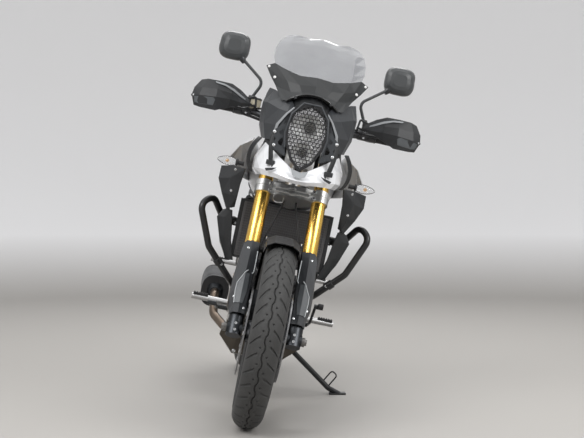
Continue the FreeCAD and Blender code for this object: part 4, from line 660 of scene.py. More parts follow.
def make_discs():
    rings, stars, pins, rear_rings, teeth, bolts = shapes(6)
    for side, out in BOTH_WAYS:
        base = front_hub + out * 70
        sheet_on(rings, drilled(155, 110, (119, 131, 143), 22, 3.6), 5, base)
        sheet_on(stars, carrier(112, 26, 10, 7), 5, base - out * 1.5)
        stars.turned(front_hub + out * 52, out, [(40, 0), (38, 6), (30, 14), (24, 19)], 40)
        for k in range(10):
            pins.turned(base + at(side, -4.5, *polar(108.5, 36 * k)), out,
                        [(5.5, 0), (7, 1), (7, 8), (5.5, 9), (2.5, 9)], 16)
        for k in range(5):
            socket_bolt(stars, base + at(side, 1.0, *polar(33, 72 * k + 18)), out, 5)
    disc, *_ = pieces("front_wheel", ("front_disc_rings", rings, disc_steel),
                      ("front_disc_carriers", stars, dark_alloy), ("front_disc_pins", pins, steel))
    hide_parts("front_discs")
    base = rear_hub - ACROSS * 90
    sheet_on(rear_rings, drilled(130, 88, (97, 108, 119), 20, 3.4), 5, base)
    sheet_on(rear_rings, carrier(92, 24, 8, 6), 5, base + ACROSS * 1.0)
    rear_rings.turned(rear_hub - ACROSS * 62, -ACROSS, [(40, 0), (37, 10), (28, 24), (24, 28)], 40)
    tooth_count, root, crest = 43, 98.5, 105
    outline = []
    for k in range(tooth_count):
        for share, reach in ((0.0, root), (0.2, root), (0.42, crest), (0.58, crest), (0.8, root)):
            angle = 2 * math.pi * (k + share) / tooth_count
            outline.append((reach * math.cos(angle), reach * math.sin(angle)))
    loops = [outline, circle(30, 40)]
    for k in range(6):
        loops.append(circle(13, 20, polar(62, 60 * k + 30)))
        loops.append(circle(6, 14, polar(84, 60 * k)))
    sheet_on(teeth, loops, 6, rear_hub + ACROSS * 89)
    teeth.turned(rear_hub + ACROSS * 62, ACROSS, [(48, 0), (48, 18), (42, 24)], 48)
    for k in range(6):
        bolt(bolts, rear_hub + at(1, 92, *polar(48, 60 * k)), ACROSS, 6)
    rear_disc, sprocket, _ = pieces("rear_wheel", ("rear_disc_ring", rear_rings, disc_steel),
                                    ("rear_sprocket", teeth, dark_steel), ("sprocket_bolts", bolts, steel))
    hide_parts("rear_disc_and_sprocket")
    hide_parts("rear_disc_and_sprocket")


def make_wheel_details():
    wheels = ((front_hub, "front_wheel", 241, 34), (rear_hub, "rear_wheel", 216, 46.5))
    for hub, body, radius, reach in wheels:
        stem, lip = shapes(2)
        foot = hub + at(1, 0, *polar(radius - 20, 200))
        inward = (hub - foot).normalized()
        stem.turned(foot, inward + ACROSS * 0.25,
                    [(5, 0), (5, 6), (3.4, 9), (3.4, 24), (4.6, 25), (4.6, 33), (3.6, 34)], 14)
        for side in SIDES:
            rings = []
            for k in range(121):
                centre = hub + at(side, reach - 1.5, *polar(radius - 1.5, 360 * k / 120))
                out = (centre - hub - ACROSS * side * (reach - 1.5)).normalized()
                rings.append([centre + out * 1.6 * c + ACROSS * 1.6 * s for c, s in circuit(6)])
            lip.rings(rings, False)
        pieces(body, (body + "_valve", stem, soft_rubber), (body + "_rim_edge", lip, rim_edge, 60))


# Lamp, its guard's ears and the beak's clamps
lamp_centre = Vector((0, 0, 1027))
lamp_outline = [(0, 1.0), (0.72, 0.77), (0.97, 0.28), (0.86, -0.26), (0.50, -0.72), (0, -1.0),
                (-0.50, -0.72), (-0.86, -0.26), (-0.97, 0.28), (-0.72, 0.77)]


def facet_bowl(shape, centre, half_x, half_z, depth, rings, steps):
    """A stepped reflector whose facets tilt this way and that."""
    rows = []
    for ring in range(rings + 1):
        share = 1 - ring / rings * 0.82
        row = []
        for k in range(steps):
            angle = 2 * math.pi * (k + 0.5 * (ring % 2)) / steps
            x, z = half_x * share * math.cos(angle), half_z * share * math.sin(angle)
            push = depth * (1 - share * share) * (1 + 0.10 * math.sin(3 * angle + ring))
            row.append(centre + Vector((x, push, z)))
        rows.append(row)
    shape.rings([[point + REAR * 1.5 for point in row] for row in reversed(rows)] + rows)


def make_lamp():
    bowls, rims, bulbs, collars = shapes(4)
    holes = []
    for rise, half_x, half_z, depth, steps, lens in ((36, 56, 46, 20, 22, 17), (-57, 40, 39, 17, 18, 12)):
        centre = lamp_centre + Vector((0, 18, rise))
        facet_bowl(bowls, centre, half_x, half_z, depth, 6, steps)
        ring = [(half_x * c, centre.z - lamp_centre.z + half_z * s) for c, s in circuit(48)]
        holes.append(ring)
        rims.tube([lamp_centre + Vector((u, 17, v)) for u, v in ring + ring[:1]], 1.8, 8, False)
        middle = centre + Vector((8 if lens > 15 else 0, 14, 4))
        bulbs.turned(middle, -REAR, [(lens, 0), (lens, 6), (lens * 0.93, 11), (lens * 0.7, 15),
                                     (lens * 0.35, 17)], 28)
        collars.turned(middle, -REAR, [(lens + 4, -2), (lens + 4, 5), (lens + 1, 8), (lens + 0.6, 0)], 28)
    face = [(x * 77 * 0.875, z * 122 * 0.875) for x, z in lamp_outline]
    sheet_on(rims, [face] + holes, 2, lamp_centre + Vector((0, 18.5, 0)), ACROSS, UP)
    pieces("chassis", ("lamp_reflectors", bowls, bowl_silver, 0), ("lamp_frame", rims, satin_chrome),
           ("lamp_lenses", bulbs, warm_glass, 40), ("lamp_lens_rings", collars, satin_black))


def make_lamp_guard_ears():
    ears, bolts, clamps, slots, struts, frame_edge, strips, liner = shapes(8)
    ear_loops = (
        (((70, 1064), (82, 1058), (112, 1032), (120, 1022), (116, 1012), (100, 1000), (112, 986), (116, 976),
          (104, 966), (58, 946), (66, 985), (74, 1024)), 5),
        (((80, 1010), (92, 996), (90, 984), (76, 980), (76, 1000)), 3),
        (((84, 1040), (96, 1028), (90, 1018), (80, 1024)), 2))
    for side in SIDES:
        sheet_on(ears, [rounded(on_side(side, *loop), radius) for loop, radius in ear_loops], 3, (0, -12, 0),
                 ACROSS, UP)
        for x, z in ((110, 1024), (104, 978)):
            dome(bolts, (side * x, -14, z), -REAR, 6.5, 4.5)
        spine = on_side(side, (112, -6, 1016), (112, -8, 975), (106, -6, 938), (102, 0, 918))
        clamps.tube(smooth_line(spine, 5), 8.5, 10)
        for x, y, z, size in ((103, -6, 917, (30, 22, 16)), (108, 2, 1008, (26, 22, 22)),
                              (92, -13, 912, (10, 10, 22))):
            clamps.block((side * x, y, z), size)
        struts.tube(on_side(side, (108, 0, 1004), (112, 40, 1008), (110, 84, 1000)), 6, 10)
        slot = rounded(on_side(side, (76, 902), (118, 893), (112, 884), (92, 890)), 2.5)
        slots.slab([Vector((x, -49 + (abs(x) - 76) * 0.62 - 2.0, z)) for x, z in slot], REAR * 3)
        rows = []
        for x, y, z, wide in ((58, 4, 1122, 5), (78, 8, 1096, 8), (101, 20, 1056, 10), (106, 22, 1034, 8),
                              (106, 24, 1012, 4)):
            rows.append(on_side(side, (x, y, z), (x + wide, y + wide * 0.8, z + 1),
                                (x + wide, y + wide * 0.8 + 5, z + 1), (x, y + 6, z)))
        strips.rings(rows)
        liner.slab([(side * x, 60 + (x - 80) * 0.6, z) for x, z in
                    ((72, 1006), (138, 1006), (150, 950), (130, 905), (64, 905))], REAR * 3)
    edge = ((-66, -50), (-75, 0), (-64, 70), (-30, 114), (30, 114), (64, 70), (75, 0), (66, -50))
    frame_edge.tube([(x, -17.5, 1027 + z) for x, z in edge], 3.6, 10)
    pieces("chassis", ("guard_frame_edge", frame_edge, ear_black, 40, 0, "black_steel"),
           ("cowl_strips", strips, pale_grey, 30, 0.8), ("cowl_liner", liner, matt_black),
           ("guard_ears", ears, ear_black, 30, 0.5), ("guard_ear_bolts", bolts, steel, 40),
           ("guard_clamps", clamps, black_plastic, 30, 1.6), ("guard_struts", struts, powder_black),
           ("beak_slots", slots, satin_black))


def make_beak_trim():
    """Dark panels that stand outside the beak on each side, and its chin."""
    trim, chin = shapes(2)
    for side in SIDES:
        rows = []
        for y, x, z in ((40, 150, 1000), (46, 166, 978), (56, 176, 950), (72, 178, 922), (96, 172, 896),
                        (124, 160, 880)):
            rows.append(on_side(side, (x, y, z), (x + 13, y + 7, z + 2), (x + 10, y + 16, z),
                                (x - 3, y + 9, z - 2)))
        trim.rings(rows)
    points = [(-30, 908), (0, 900), (30, 908), (22, 886), (0, 878), (-22, 886)]
    chin.slab([Vector((x, -76 - (908 - z) * 0.55 + abs(x) * 0.25, z)) for x, z in points], REAR * 3)
    pieces("chassis", ("beak_side_trim", trim, satin_black, 35, 1.2, None, 1),
           ("beak_chin", chin, pale_grey, 30, 0.8))


# Screen fittings
def make_screen_fittings():
    studs, pads, lip, brow = shapes(4)
    for side in SIDES:
        way = at(side, 0.35, -0.85, 0.35)
        for x, y, z in ((177, 147, 1264), (149, 121, 1226)):
            pads.turned(at(side, x, y, z), way, [(9, 0), (8.6, 2.2), (6.5, 3)], 24)
            dome(studs, at(side, x, y, z) + way.normalized() * 2.6, way, 5.6, 3.4)
    half = [(0, 37, 1181), (20, 38, 1180), (40, 40, 1175), (58, 43, 1168), (72, 47, 1160), (84, 53, 1152),
            (93, 58, 1145)]
    arch = on_side(-1, *reversed(half[1:])) + half
    lip.tube(smooth_line(arch, 4), 3.4, 10)
    brow.rings([[(x, y + 3, z - 1), (x, y + 42, z - 4), (x, y + 42, z - 7), (x, y + 3, z - 5)]
                for x, y, z in arch])
    pieces("chassis", ("screen_bolt_pads", pads, soft_rubber, 40, 0, "black_plastic"),
           ("screen_bolts", studs, pale_nylon, 40), ("screen_arch_lip", lip, gloss_black, 40),
           ("screen_arch_liner", brow, matt_black, 40))


# Dash seen from the saddle
def make_dash():
    faces, glass, dials, marks, ticks, needle = shapes(6)
    normal = Vector((0, 0.955, -0.296))
    rise = Vector((0, 0.296, 0.955))
    centre = Vector((0, 303, 1170))
    sheet_on(faces, [rounded([(-92, -40), (92, -40), (84, 40), (-84, 40)], 14)], 4, centre, ACROSS, rise)
    sheet_on(glass, [rounded([(2, -26), (78, -26), (72, 27), (2, 27)], 8)], 2, centre + normal * 2.6,
             ACROSS, rise)
    ring = centre + ACROSS * -42 + normal * 2
    dials.turned(ring, normal, [(35, 0), (35, 3.2), (31.5, 4.0), (31, 1)], 48, False)
    marks.turned(ring, normal, [(30.5, 0.2), (30.5, 0.8), (0.5, 0.8)], 40)
    for k in range(25):
        angle = math.radians(225 - 270 * k / 24)
        out = ACROSS * -math.cos(angle) + rise * math.sin(angle)
        side = out.cross(normal)
        length = 6 if k % 2 == 0 else 3.4
        a, b = ring + normal * 1.2 + out * 29, ring + normal * 1.2 + out * (29 - length)
        ticks.slab([a + side * 0.5, b + side * 0.5, b - side * 0.5, a - side * 0.5], normal * 0.4)
    tip = ACROSS * 0.75 + rise * -0.66
    side = tip.cross(normal)
    pivot = ring + normal * 2.2
    needle.slab([pivot + tip * 25, pivot + side * 1.4 - tip * 6, pivot - side * 1.4 - tip * 6], normal * 0.8)
    dome(needle, ring + normal * 1.6, normal, 5, 2.6)
    pieces("chassis", ("dash_face", faces, satin_black, 30, 1.2),
           ("dash_glass", glass, display_glass, 30, 0.6), ("dash_bezel", dials, satin_chrome, 40),
           ("dash_dial", marks, gloss_black, 40), ("dash_ticks", ticks, pale_nylon, 0, 0, "white_paint"),
           ("dash_needle", needle, red_paint))


# Bars: grips, switches, reservoir, levers' bolts, cables and the mirrors' feet
def make_bar_details():
    ribs, boxes, buttons, bolts, cables, tank, cap, boots = shapes(8)
    for side in SIDES:
        way = bar_way(side)
        up = (UP - way * way.dot(UP)).normalized()
        ahead = up.cross(way)
        if ahead.y > 0:
            ahead = -ahead
        for k in range(22):
            band(ribs, on_bar(side, 118 - k * 4.9), way, 17.2, 18.6, (0, 0.8, 2.4, 3.2), 28)
        for along in (121.5, 1.5):
            band(ribs, on_bar(side, along), way, 17, 21.5, (-4, -3, 0.5, 1.5), 28)
        centre = on_bar(side, switch_inboard)
        boxes.rings([[centre - way * along + ahead * (u * size) + up * (v * size)
                      for u, v in squircle(24, 22, 3.4, 28)]
                     for along, size in ((-18, 0.80), (-16, 0.95), (0, 1.0), (15, 0.96), (17.5, 0.82))])
        face = -ahead
        for u, v, size in ((-6, 9, 4.2), (6, 8, 4.2), (0, -7, 5.2)):
            dome(buttons, centre + way * u + up * v + face * 22.5, face, size, 3.6)
        buttons.block(centre + face * 24 + up * 1 + way * 8, (7, 5, 8))
        perch = on_bar(side, perch_inboard)
        for v in (-15, 15):
            socket_bolt(bolts, perch + ahead * 18 + up * v * 0.75, ahead, 3.6)
        bolt(bolts, perch + ahead * 30 + up * 9 - way * 4, up, 4.2)
        foot = perch + UP * 19
        boots.turned(foot, UP, [(11, -3), (11.5, 3), (9, 8), (9, 14), (7.5, 15)], 6)
        boots.turned(foot + UP * 15, UP, [(9.5, 0), (9.2, 9), (7.6, 20), (6.6, 26)], 20)
    perch = on_bar(-1, perch_inboard)
    base = perch + Vector((26, -26, 16))
    tank.turned(base, UP, [(19, 0), (21, 4), (21, 26), (19.5, 28)], 32)
    tank.tube([perch + Vector((6, -12, 6)), base + Vector((0, 0, 6))], 7, 12)
    cap.turned(base + UP * 28, UP, [(22.5, 0), (22.5, 5), (20.5, 7), (10, 7.4)], 32)
    for x in (-13, 13):
        socket_bolt(cap, base + Vector((x, 0, 35)), UP, 2.6)
    left, right = on_bar(1, perch_inboard), on_bar(-1, perch_inboard)
    left_switch, right_switch = on_bar(1, switch_inboard + 1), on_bar(-1, switch_inboard + 1)
    ends = (
        (4.2, right + Vector((8, -22, 2))), (3.6, left + Vector((-8, -20, 0))),
        (3.0, right_switch + Vector((12, -16, -14))), (3.2, left_switch + Vector((-12, -16, -14))),
        (3.0, right_switch + Vector((12, -12, -18))))
    routes = (
        [(-152, 428, 1142), (-86, 410, 1108), (-42, 400, 1064), (-22, 388, 1020)],
        [(154, 428, 1146), (88, 410, 1110), (42, 398, 1066), (20, 386, 1022)],
        [(-178, 436, 1100), (-106, 416, 1082), (-54, 404, 1048), (-30, 392, 1020)],
        [(178, 436, 1104), (108, 416, 1084), (54, 402, 1050), (28, 390, 1020)],
        [(-172, 444, 1094), (-102, 424, 1074), (-58, 412, 1044), (-34, 398, 1020)])
    for (size, end), route in zip(ends, routes):
        cables.tube(smooth_line([end] + route, 7), size, 10)
    pieces("steering", ("grip_ribs", ribs, soft_rubber), ("switch_boxes", boxes, satin_black, 35, 1),
           ("switch_buttons", buttons, pale_grey, 35, 0.6), ("bar_bolts", bolts, steel),
           ("mirror_boots", boots, soft_rubber), ("brake_reservoir", tank, smoked_plastic, 35),
           ("brake_reservoir_cap", cap, satin_black), ("bar_cables", cables, soft_rubber, 40))


def make_clamp_details():
    caps, bolts, ribs, nut, seals, skins, horn = shapes(7)
    for side in SIDES:
        x = side * fork_spread
        top = fork_point(x, 805)
        caps.turned(top, fork_way, [(26, -2), (26, 1.5), (22, 3)], 32)
        band(skins, fork_point(x, 291), fork_way, 27.02, 27.3, (0, 0.5, 512.5, 513), 96)
        caps.turned(top + fork_way * 3, fork_way, [(19, 0), (19, 6), (17, 8)], 6)
        caps.turned(top + fork_way * 11, fork_way, [(9, 0), (9, 6), (7, 7.5)], 16)
        for along in (545, 572):
            socket_bolt(bolts, fork_point(x - side * 24, along, 26), fork_ahead, 6.2)
        socket_bolt(bolts, fork_point(x - side * 16, 743, 28), fork_ahead, 5)
        for along, reach in ((285, 31), (292, 30)):
            band(seals, fork_point(x, along), fork_way, 27.2, reach, (0, 1.5, 5, 6.5))
        for along in (-14, 10):
            socket_bolt(bolts, fork_point(x - side * 2, along, 25), fork_ahead, 5)
        band(ribs, fork_point(x, 560), fork_way, 33.2, 34.6, (-1, 0, 3, 4), 40)
        riser = bar_centre + ACROSS * side * 46
        for u in (-16, 16):
            socket_bolt(bolts, riser + Vector((0, u, 21)), UP, 5)
        band(ribs, riser - ACROSS * 17, ACROSS, 14.5, 22, (0, 1.5, 32.5, 34))
    for along in (548, 562):
        ribs.tube([fork_point(-62, along, 25.2), fork_point(62, along, 25.2)], 2.4, 8)
    ribs.turned(fork_point(0, 559, 24), fork_ahead, [(17, 0), (17, 4), (11, 5), (10, 2)], 32)
    for side in SIDES:
        rib = ((22, 550), (62, 547), (66, 556), (22, 562))
        ribs.slab([fork_point(side * x, along, 24) for x, along in rib], fork_ahead * 2)
    nut.turned(fork_point(0, 756, -fork_offset), fork_way, [(18, 0), (18, 10), (16, 12)], 6)
    nut.turned(fork_point(0, 768, -fork_offset), fork_way, [(9, 0), (9, 4), (6, 4)], 24)
    nut.turned(fork_point(0, 756, 6), fork_way, [(19, 0), (19, 12), (15, 15), (6, 15)], 28)
    hook = [(-64, 236, 812), (-62, 222, 797), (-46, 216, 793), (-28, 222, 797), (-26, 236, 812)]
    horn.tube(smooth_line(hook, 5), 2.2, 8)
    pieces("steering", ("fork_caps", caps, dark_alloy), ("fork_tube_skins", skins, gold_tube, 50),
           ("clamp_bolts", bolts, steel), ("clamp_ribs", ribs, silver_cast), ("stem_nut", nut, steel),
           ("fork_seals", seals, soft_rubber), ("clamp_hose_hook", horn, steel))


def make_mirror_faces():
    glass, bezel, joint_covers = shapes(3)
    for side in SIDES:
        centre = on_bar(side, perch_inboard) + UP * 18.9 + at(side, 101, 3.4, 220)
        face, outer, inner = (on_side(side, *squircle(half_u, half_v, 3.2, 48))
                              for half_u, half_v in ((51, 46), (56.5, 51.5), (51.4, 46.4)))
        sheet_on(glass, [face], 1.2, centre + REAR * 23.4, ACROSS, UP)
        sheet_on(bezel, [outer, inner], 3.0, centre + REAR * 24, ACROSS, UP)
        root = centre + at(side, -36, 0, -40.7)
        joint_covers.turned(root + at(side, -7, 0, -9), at(side, 0.6, 0, 0.74),
                            [(8, -12), (10.5, -6), (13, 4), (13, 10)], 20)
    pieces("steering", ("mirror_glass", glass, chrome, 0), ("mirror_bezels", bezel, satin_black, 30, 0.8),
           ("mirror_joints", joint_covers, satin_black, 35))


def hand_spot(side, u, v, w):
    """A place on the hand guard, by shares of its box."""
    x, y, z = bar_end(1) + Vector((-188, -132, -37)) + Vector((u * 237, v * 42, w * 116))
    return at(side, x, y, z)


def make_hand_guard_details():
    inserts, strips, bolts = shapes(3)
    outline = ((0.955, 0.62, 0.335), (0.90, 0.39, 0.345), (0.64, 0.02, 0.395), (0.60, 0.03, 0.335),
               (0.62, 0.17, 0.14), (0.86, 0.45, 0.11), (0.93, 0.72, 0.14))
    strip = (((0.66, 0.47, 0.955), (0.64, 0.40, 0.90)), ((0.50, 0.47, 0.93), (0.49, 0.39, 0.865)),
             ((0.34, 0.49, 0.83), (0.35, 0.39, 0.755)), ((0.20, 0.66, 0.68), (0.21, 0.58, 0.615)),
             ((0.13, 0.76, 0.60), (0.13, 0.72, 0.555)))
    forward = REAR * -3
    for side in SIDES:
        inserts.slab([hand_spot(side, *spot) for spot in outline], Vector((0, -2.4, 0)))
        rows = []
        for high, low in strip:
            p, q = hand_spot(side, *high), hand_spot(side, *low)
            rows.append([p, q, q + forward, p + forward])
        strips.rings(rows)
        bolt(bolts, hand_spot(side, 0.965, 0.68, 0.37), Vector((side, -0.3, 0)), 3.6)
        bolt(bolts, bar_end(side) + bar_way(side) * 22, bar_way(side), 5)
    pieces("steering", ("hand_guard_inserts", inserts, guard_grey, 30, 1),
           ("hand_guard_strips", strips, pale_grey, 30, 0.8), ("hand_guard_bolts", bolts, steel))


# Turn signals
def half_ring(centre, radius, facing):
    """Points from top to bottom round the side that faces a way."""
    steps = 12
    angles = [math.pi * k / steps for k in range(steps + 1)]
    return [centre + UP * radius * math.cos(angle) + facing * radius * math.sin(angle) for angle in angles]


def make_turn_signals():
    stalks, shells, lenses, bowls, bulbs = shapes(5)
    profile = ((2, 7), (5, 11), (12, 14.5), (24, 17), (38, 16.5), (52, 13.5), (63, 9.5), (70, 5), (72.5, 2))
    for x, y, z, facing in ((220, 168, 902, -REAR), (110, 1830, 690, REAR)):
        for side, out in BOTH_WAYS:
            base = at(side, x, y, z)
            stalks.tube([base - out * 26, base + out * 4], 8, 16)
            stalks.turned(base - out * 4, out, [(9, 0), (13, 2), (13, 6), (10, 9)], 24)
            backs, fronts, plates = [], [], []
            for along, size in profile:
                centre = base + out * along
                backs.append(half_ring(centre, size, -facing))
                inside = half_ring(centre, max(size - 1.6, 0.4), facing)
                fronts.append(half_ring(centre, size, facing) + inside[::-1])
                top, end = centre + UP * max(size - 2.6, 0.5), centre - UP * max(size - 2.6, 0.5)
                plates.append([top, end, end + facing * 0.6, top + facing * 0.6])
            shells.rings(backs)
            lenses.rings(fronts)
            bowls.rings(plates)
            bulbs.turned(base + out * 36 + facing * 0.8, facing, [(6.5, 0), (6.5, 4), (5.5, 7), (3, 9)], 20)
    _, shell, lens, *_ = pieces(
        "chassis", ("signal_stalks", stalks, soft_rubber, 40), ("signal_shells", shells, satin_black, 50),
        ("signal_lenses", lenses, lens_clear, 50), ("signal_reflectors", bowls, chrome, 20),
        ("signal_bulbs", bulbs, amber_glass, 40))
    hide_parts("turn_signals")
    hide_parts("turn_signals")


# Fork guards, callipers and the axle
def guard_spot(side, x, along, ahead):
    return fork_point(side * (fork_spread + x), along, ahead)


def make_fork_details():
    panels, highlight_lines, bolts, pistons, clips = shapes(5)
    rows = ((192, (2, 52.4), (1, 52.8), (-14, 47)), (172, (12, 48.8), (1.5, 53.4), (-15, 47.4)),
            (153, (22.5, 44.6), (1.5, 53.6), (-15.5, 47.2)), (124, (23.5, 44.2), (1.5, 53.4), (-15.5, 47)),
            (78, (20, 40.6), (0.5, 49.4), (-9, 46.4)))
    # Pale tubes along the panels' edges: a painted highlight where the guards' bevels catch the light.
    edges = ((1.7, (-6, 203, 51.5), (3, 193, 53.4), (13, 172, 49.8), (23.2, 152, 45.6), (24.2, 124, 45.2),
              (20.6, 77, 41.6)),
             (1.9, (-25.5, 285, 41), (-26.5, 250, 41), (-26.5, 205, 41.5), (-22, 196, 44)))
    for side, out in BOTH_WAYS:
        panels.rings([[guard_spot(side, x, along, ahead + 0.6) for x, ahead in spots]
                      + [guard_spot(side, x, along, ahead - 6) for x, ahead in reversed(spots)]
                      for along, *spots in rows])
        for size, *edge in edges:
            highlight_lines.tube([guard_spot(side, *spot) for spot in edge], size, 8)
        for spot in ((10, 290, 45), (24, 100, 40), (-17, 63, 42)):
            dome(bolts, guard_spot(side, *spot), fork_ahead, 5, 3)
        for along in (310, 206):
            band(clips, fork_point(side * fork_spread, along + 6), fork_way, 27.4, 30, (-4, -3, 3, 4))
        for angle in (25, 51):
            pistons.turned(front_hub + at(side, 94, *polar(134, angle)), out,
                           [(17, -3), (17, 1.5), (15, 3), (12.5, 3), (12, 1.6)], 32)
        for angle, reach in ((20, 116), (38, 152), (56, 116)):
            socket_bolt(bolts, front_hub + at(side, 92, *polar(reach, angle)), out, 5.4)
        bolt(bolts, front_hub + at(side, 84, *polar(158, 38)), at(side, 0.3, 0.4, 0.85), 5)
        pistons.turned(front_hub + out * 141, out, [(17, 0), (17, 2), (15, 2.6)], 28)
        pistons.turned(front_hub + out * 143, out, [(12, 0), (12, 6.5), (10.5, 8), (6.5, 8), (6.5, 2)], 6)
    for angle in (24, 60, 97):
        for side, out in BOTH_WAYS:
            dome(bolts, front_hub + at(side, 60, *polar(332, angle)), out, 5, 3)
    pieces("steering", ("fork_guard_panels", panels, guard_grey, 25, 0.6),
           ("fork_guard_edges", highlight_lines, painted_edge_highlight, 50), ("fork_bolts", bolts, steel),
           ("fork_clips", clips, dark_alloy, 40),
           ("calliper_pistons", pistons, dark_steel, 35, 0, "dark_alloy"))


# Radiator, engine and exhaust
crank = Vector((0, 700, 410))
alternator_y = 674
clutch_y = 734


def make_radiator_details():
    fins, frame_bars, hoses, clamps = shapes(4)
    for k in range(22):
        fins.block((0, 357.0, 572 + k * 9.6), (318, 3.0, 1.6))
    for k in range(40):
        fins.block((-156 + k * 8, 358.2, 672), (0.8, 1.4, 206))
    for place, size in (((-172, 360, 672), (14, 10, 222)), ((172, 360, 672), (14, 10, 222)),
                        ((0, 361, 564), (340, 9, 10)), ((0, 361, 781), (340, 9, 10))):
        frame_bars.block(place, size)
    routes = ((16, (150, 378, 566), (150, 392, 540), (128, 430, 505), (92, 468, 480), (60, 500, 470)),
              (15, (-150, 380, 778), (-148, 400, 790), (-120, 440, 786), (-84, 486, 760), (-60, 520, 735)))
    for size, *route in routes:
        hoses.tube(smooth_line(route, 8), size, 20)
        for end, after in (route[:2], route[:-3:-1]):
            end = Vector(end)
            way = (Vector(after) - end).normalized()
            band(clamps, end + way * 14, way, size + 0.2, size + 1.6, (0, 0.6, 7.4, 8), 28)
            clamps.block(end + way * 18 + UP * (size + 3), (9, 9, 6))
    pieces("chassis", ("radiator_fins", fins, fin_black, 0),
           ("radiator_frame", frame_bars, satin_black, 30, 1.2), ("coolant_hoses", hoses, soft_rubber, 50),
           ("hose_clamps", clamps, steel))


def make_engine_details():
    covers, bolts, caps, ribs, bosses = shapes(5)
    for side, centre_y, reach in ((1, alternator_y, 84), (-1, clutch_y, 92)):
        out = ACROSS * side
        hub = at(side, 150, centre_y, crank.z)
        covers.turned(hub - out * 1.5, out, [(reach * 0.80, 0), (reach * 0.80, 2.2), (reach * 0.76, 4),
                                             (reach * 0.70, 4), (reach * 0.67, 2), (reach * 0.2, 2)], 56)
        ribs.turned(hub + out * 0.5, out, [(reach * 0.40, 0), (reach * 0.40, 2.4), (reach * 0.36, 3.6),
                                           (reach * 0.30, 3.6), (reach * 0.27, 1.4)], 48)
        for k in range(9):
            y, z = polar(reach - 5, 40 * k + 12)
            bolt(bolts, at(side, 136, centre_y + y, crank.z + z), out, 4.8)
            bosses.turned(at(side, 119, centre_y + y, crank.z + z), out, [(11, 0), (10, 16), (9, 17.5)], 16)
    foot = 105
    for lean, reach in ((-58, 300), (32, 345)):
        way = Vector((0, math.sin(math.radians(lean)), math.cos(math.radians(lean))))
        across_way = ACROSS.cross(way)
        for share in (0.06, 0.47):
            middle = crank + way * (foot + (reach - foot) * share)
            ribs.slab([middle + ACROSS * x + across_way * y for x, y in squircle(70, 62, 6, 40)], way * 3)
        lid = crank + way * (reach - 4)
        for x, y in ((-62, -46), (-62, 46), (0, 46), (62, -46), (62, 46)):
            socket_bolt(bolts, lid + ACROSS * x + across_way * y, way, 5)
        for x in (-34, 34):
            caps.turned(lid + ACROSS * x + way * 2, way, [(17, -2), (18, 0), (18, 6), (15, 9), (10, 9)], 28)
    caps.turned((-118, 700, 492), (-0.5, 0, 0.87), [(19, 0), (20, 3), (20, 10), (17, 13), (8, 13)], 14)
    bolt(bolts, (10, 640, 284), -UP, 10)
    pieces("chassis", ("engine_cover_plates", covers, bronze_alloy, 35),
           ("engine_ribs", ribs, dark_alloy, 35), ("engine_bosses", bosses, dark_alloy, 35),
           ("engine_bolts", bolts, steel), ("engine_caps", caps, satin_black))


def make_exhaust_details():
    bands, outlet, shield = shapes(3)
    start, end = Vector((-222, 1160, 360)), Vector((-244, 1630, 392))
    way = (end - start).normalized()
    side = way.cross(UP).normalized()
    up = side.cross(way)
    for share, size in ((0.06, 1.03), (0.55, 1.02), (0.94, 1.03)):
        rings = []
        for along, grow in ((-9, 0.98), (-8, 1.0), (8, 1.0), (9, 0.98)):
            middle = start + (end - start) * share + way * along
            rings.append([middle + side * u * grow * size + up * v * grow * size
                          for u, v in squircle(61, 70, 2.6, 48)])
        bands.rings(rings)
    outlet.turned(end + up * -14 - way * 6, way, [(30, 0), (30, 16), (27.5, 19), (25, 16), (24, 0.5)], 40)
    bands.slab([end + way * 0.5 + side * u + up * v for u, v in squircle(52, 60, 2.6, 48)], way * 5)
    angles = [math.radians(-40 + 80 * k / 12) for k in range(13)]
    rings = []
    for along in (0.18, 0.22, 0.38, 0.46, 0.50):
        middle = start + (end - start) * along
        front, back = ([middle + (side * math.cos(a) * wide + up * math.sin(a) * high) for a in angles]
                       for wide, high in ((65, 74), (61.5, 70.5)))
        rings.append(front + back[::-1])
    shield.rings(rings)
    pieces("chassis", ("muffler_bands", bands, powder_black), ("muffler_outlet", outlet, dark_steel, 35),
           ("muffler_shield", shield, dark_alloy, 40, 0.8))


# Rear: shock spring, chain pins, rack bolts, tail lamp, pegs and stand
front_gear, rear_gear = Vector((89, 918, 405)), Vector((89, wheelbase, rear_axle_height))
front_gear_radius, rear_gear_radius = 38, 113.4
chain_pitch = 15.875


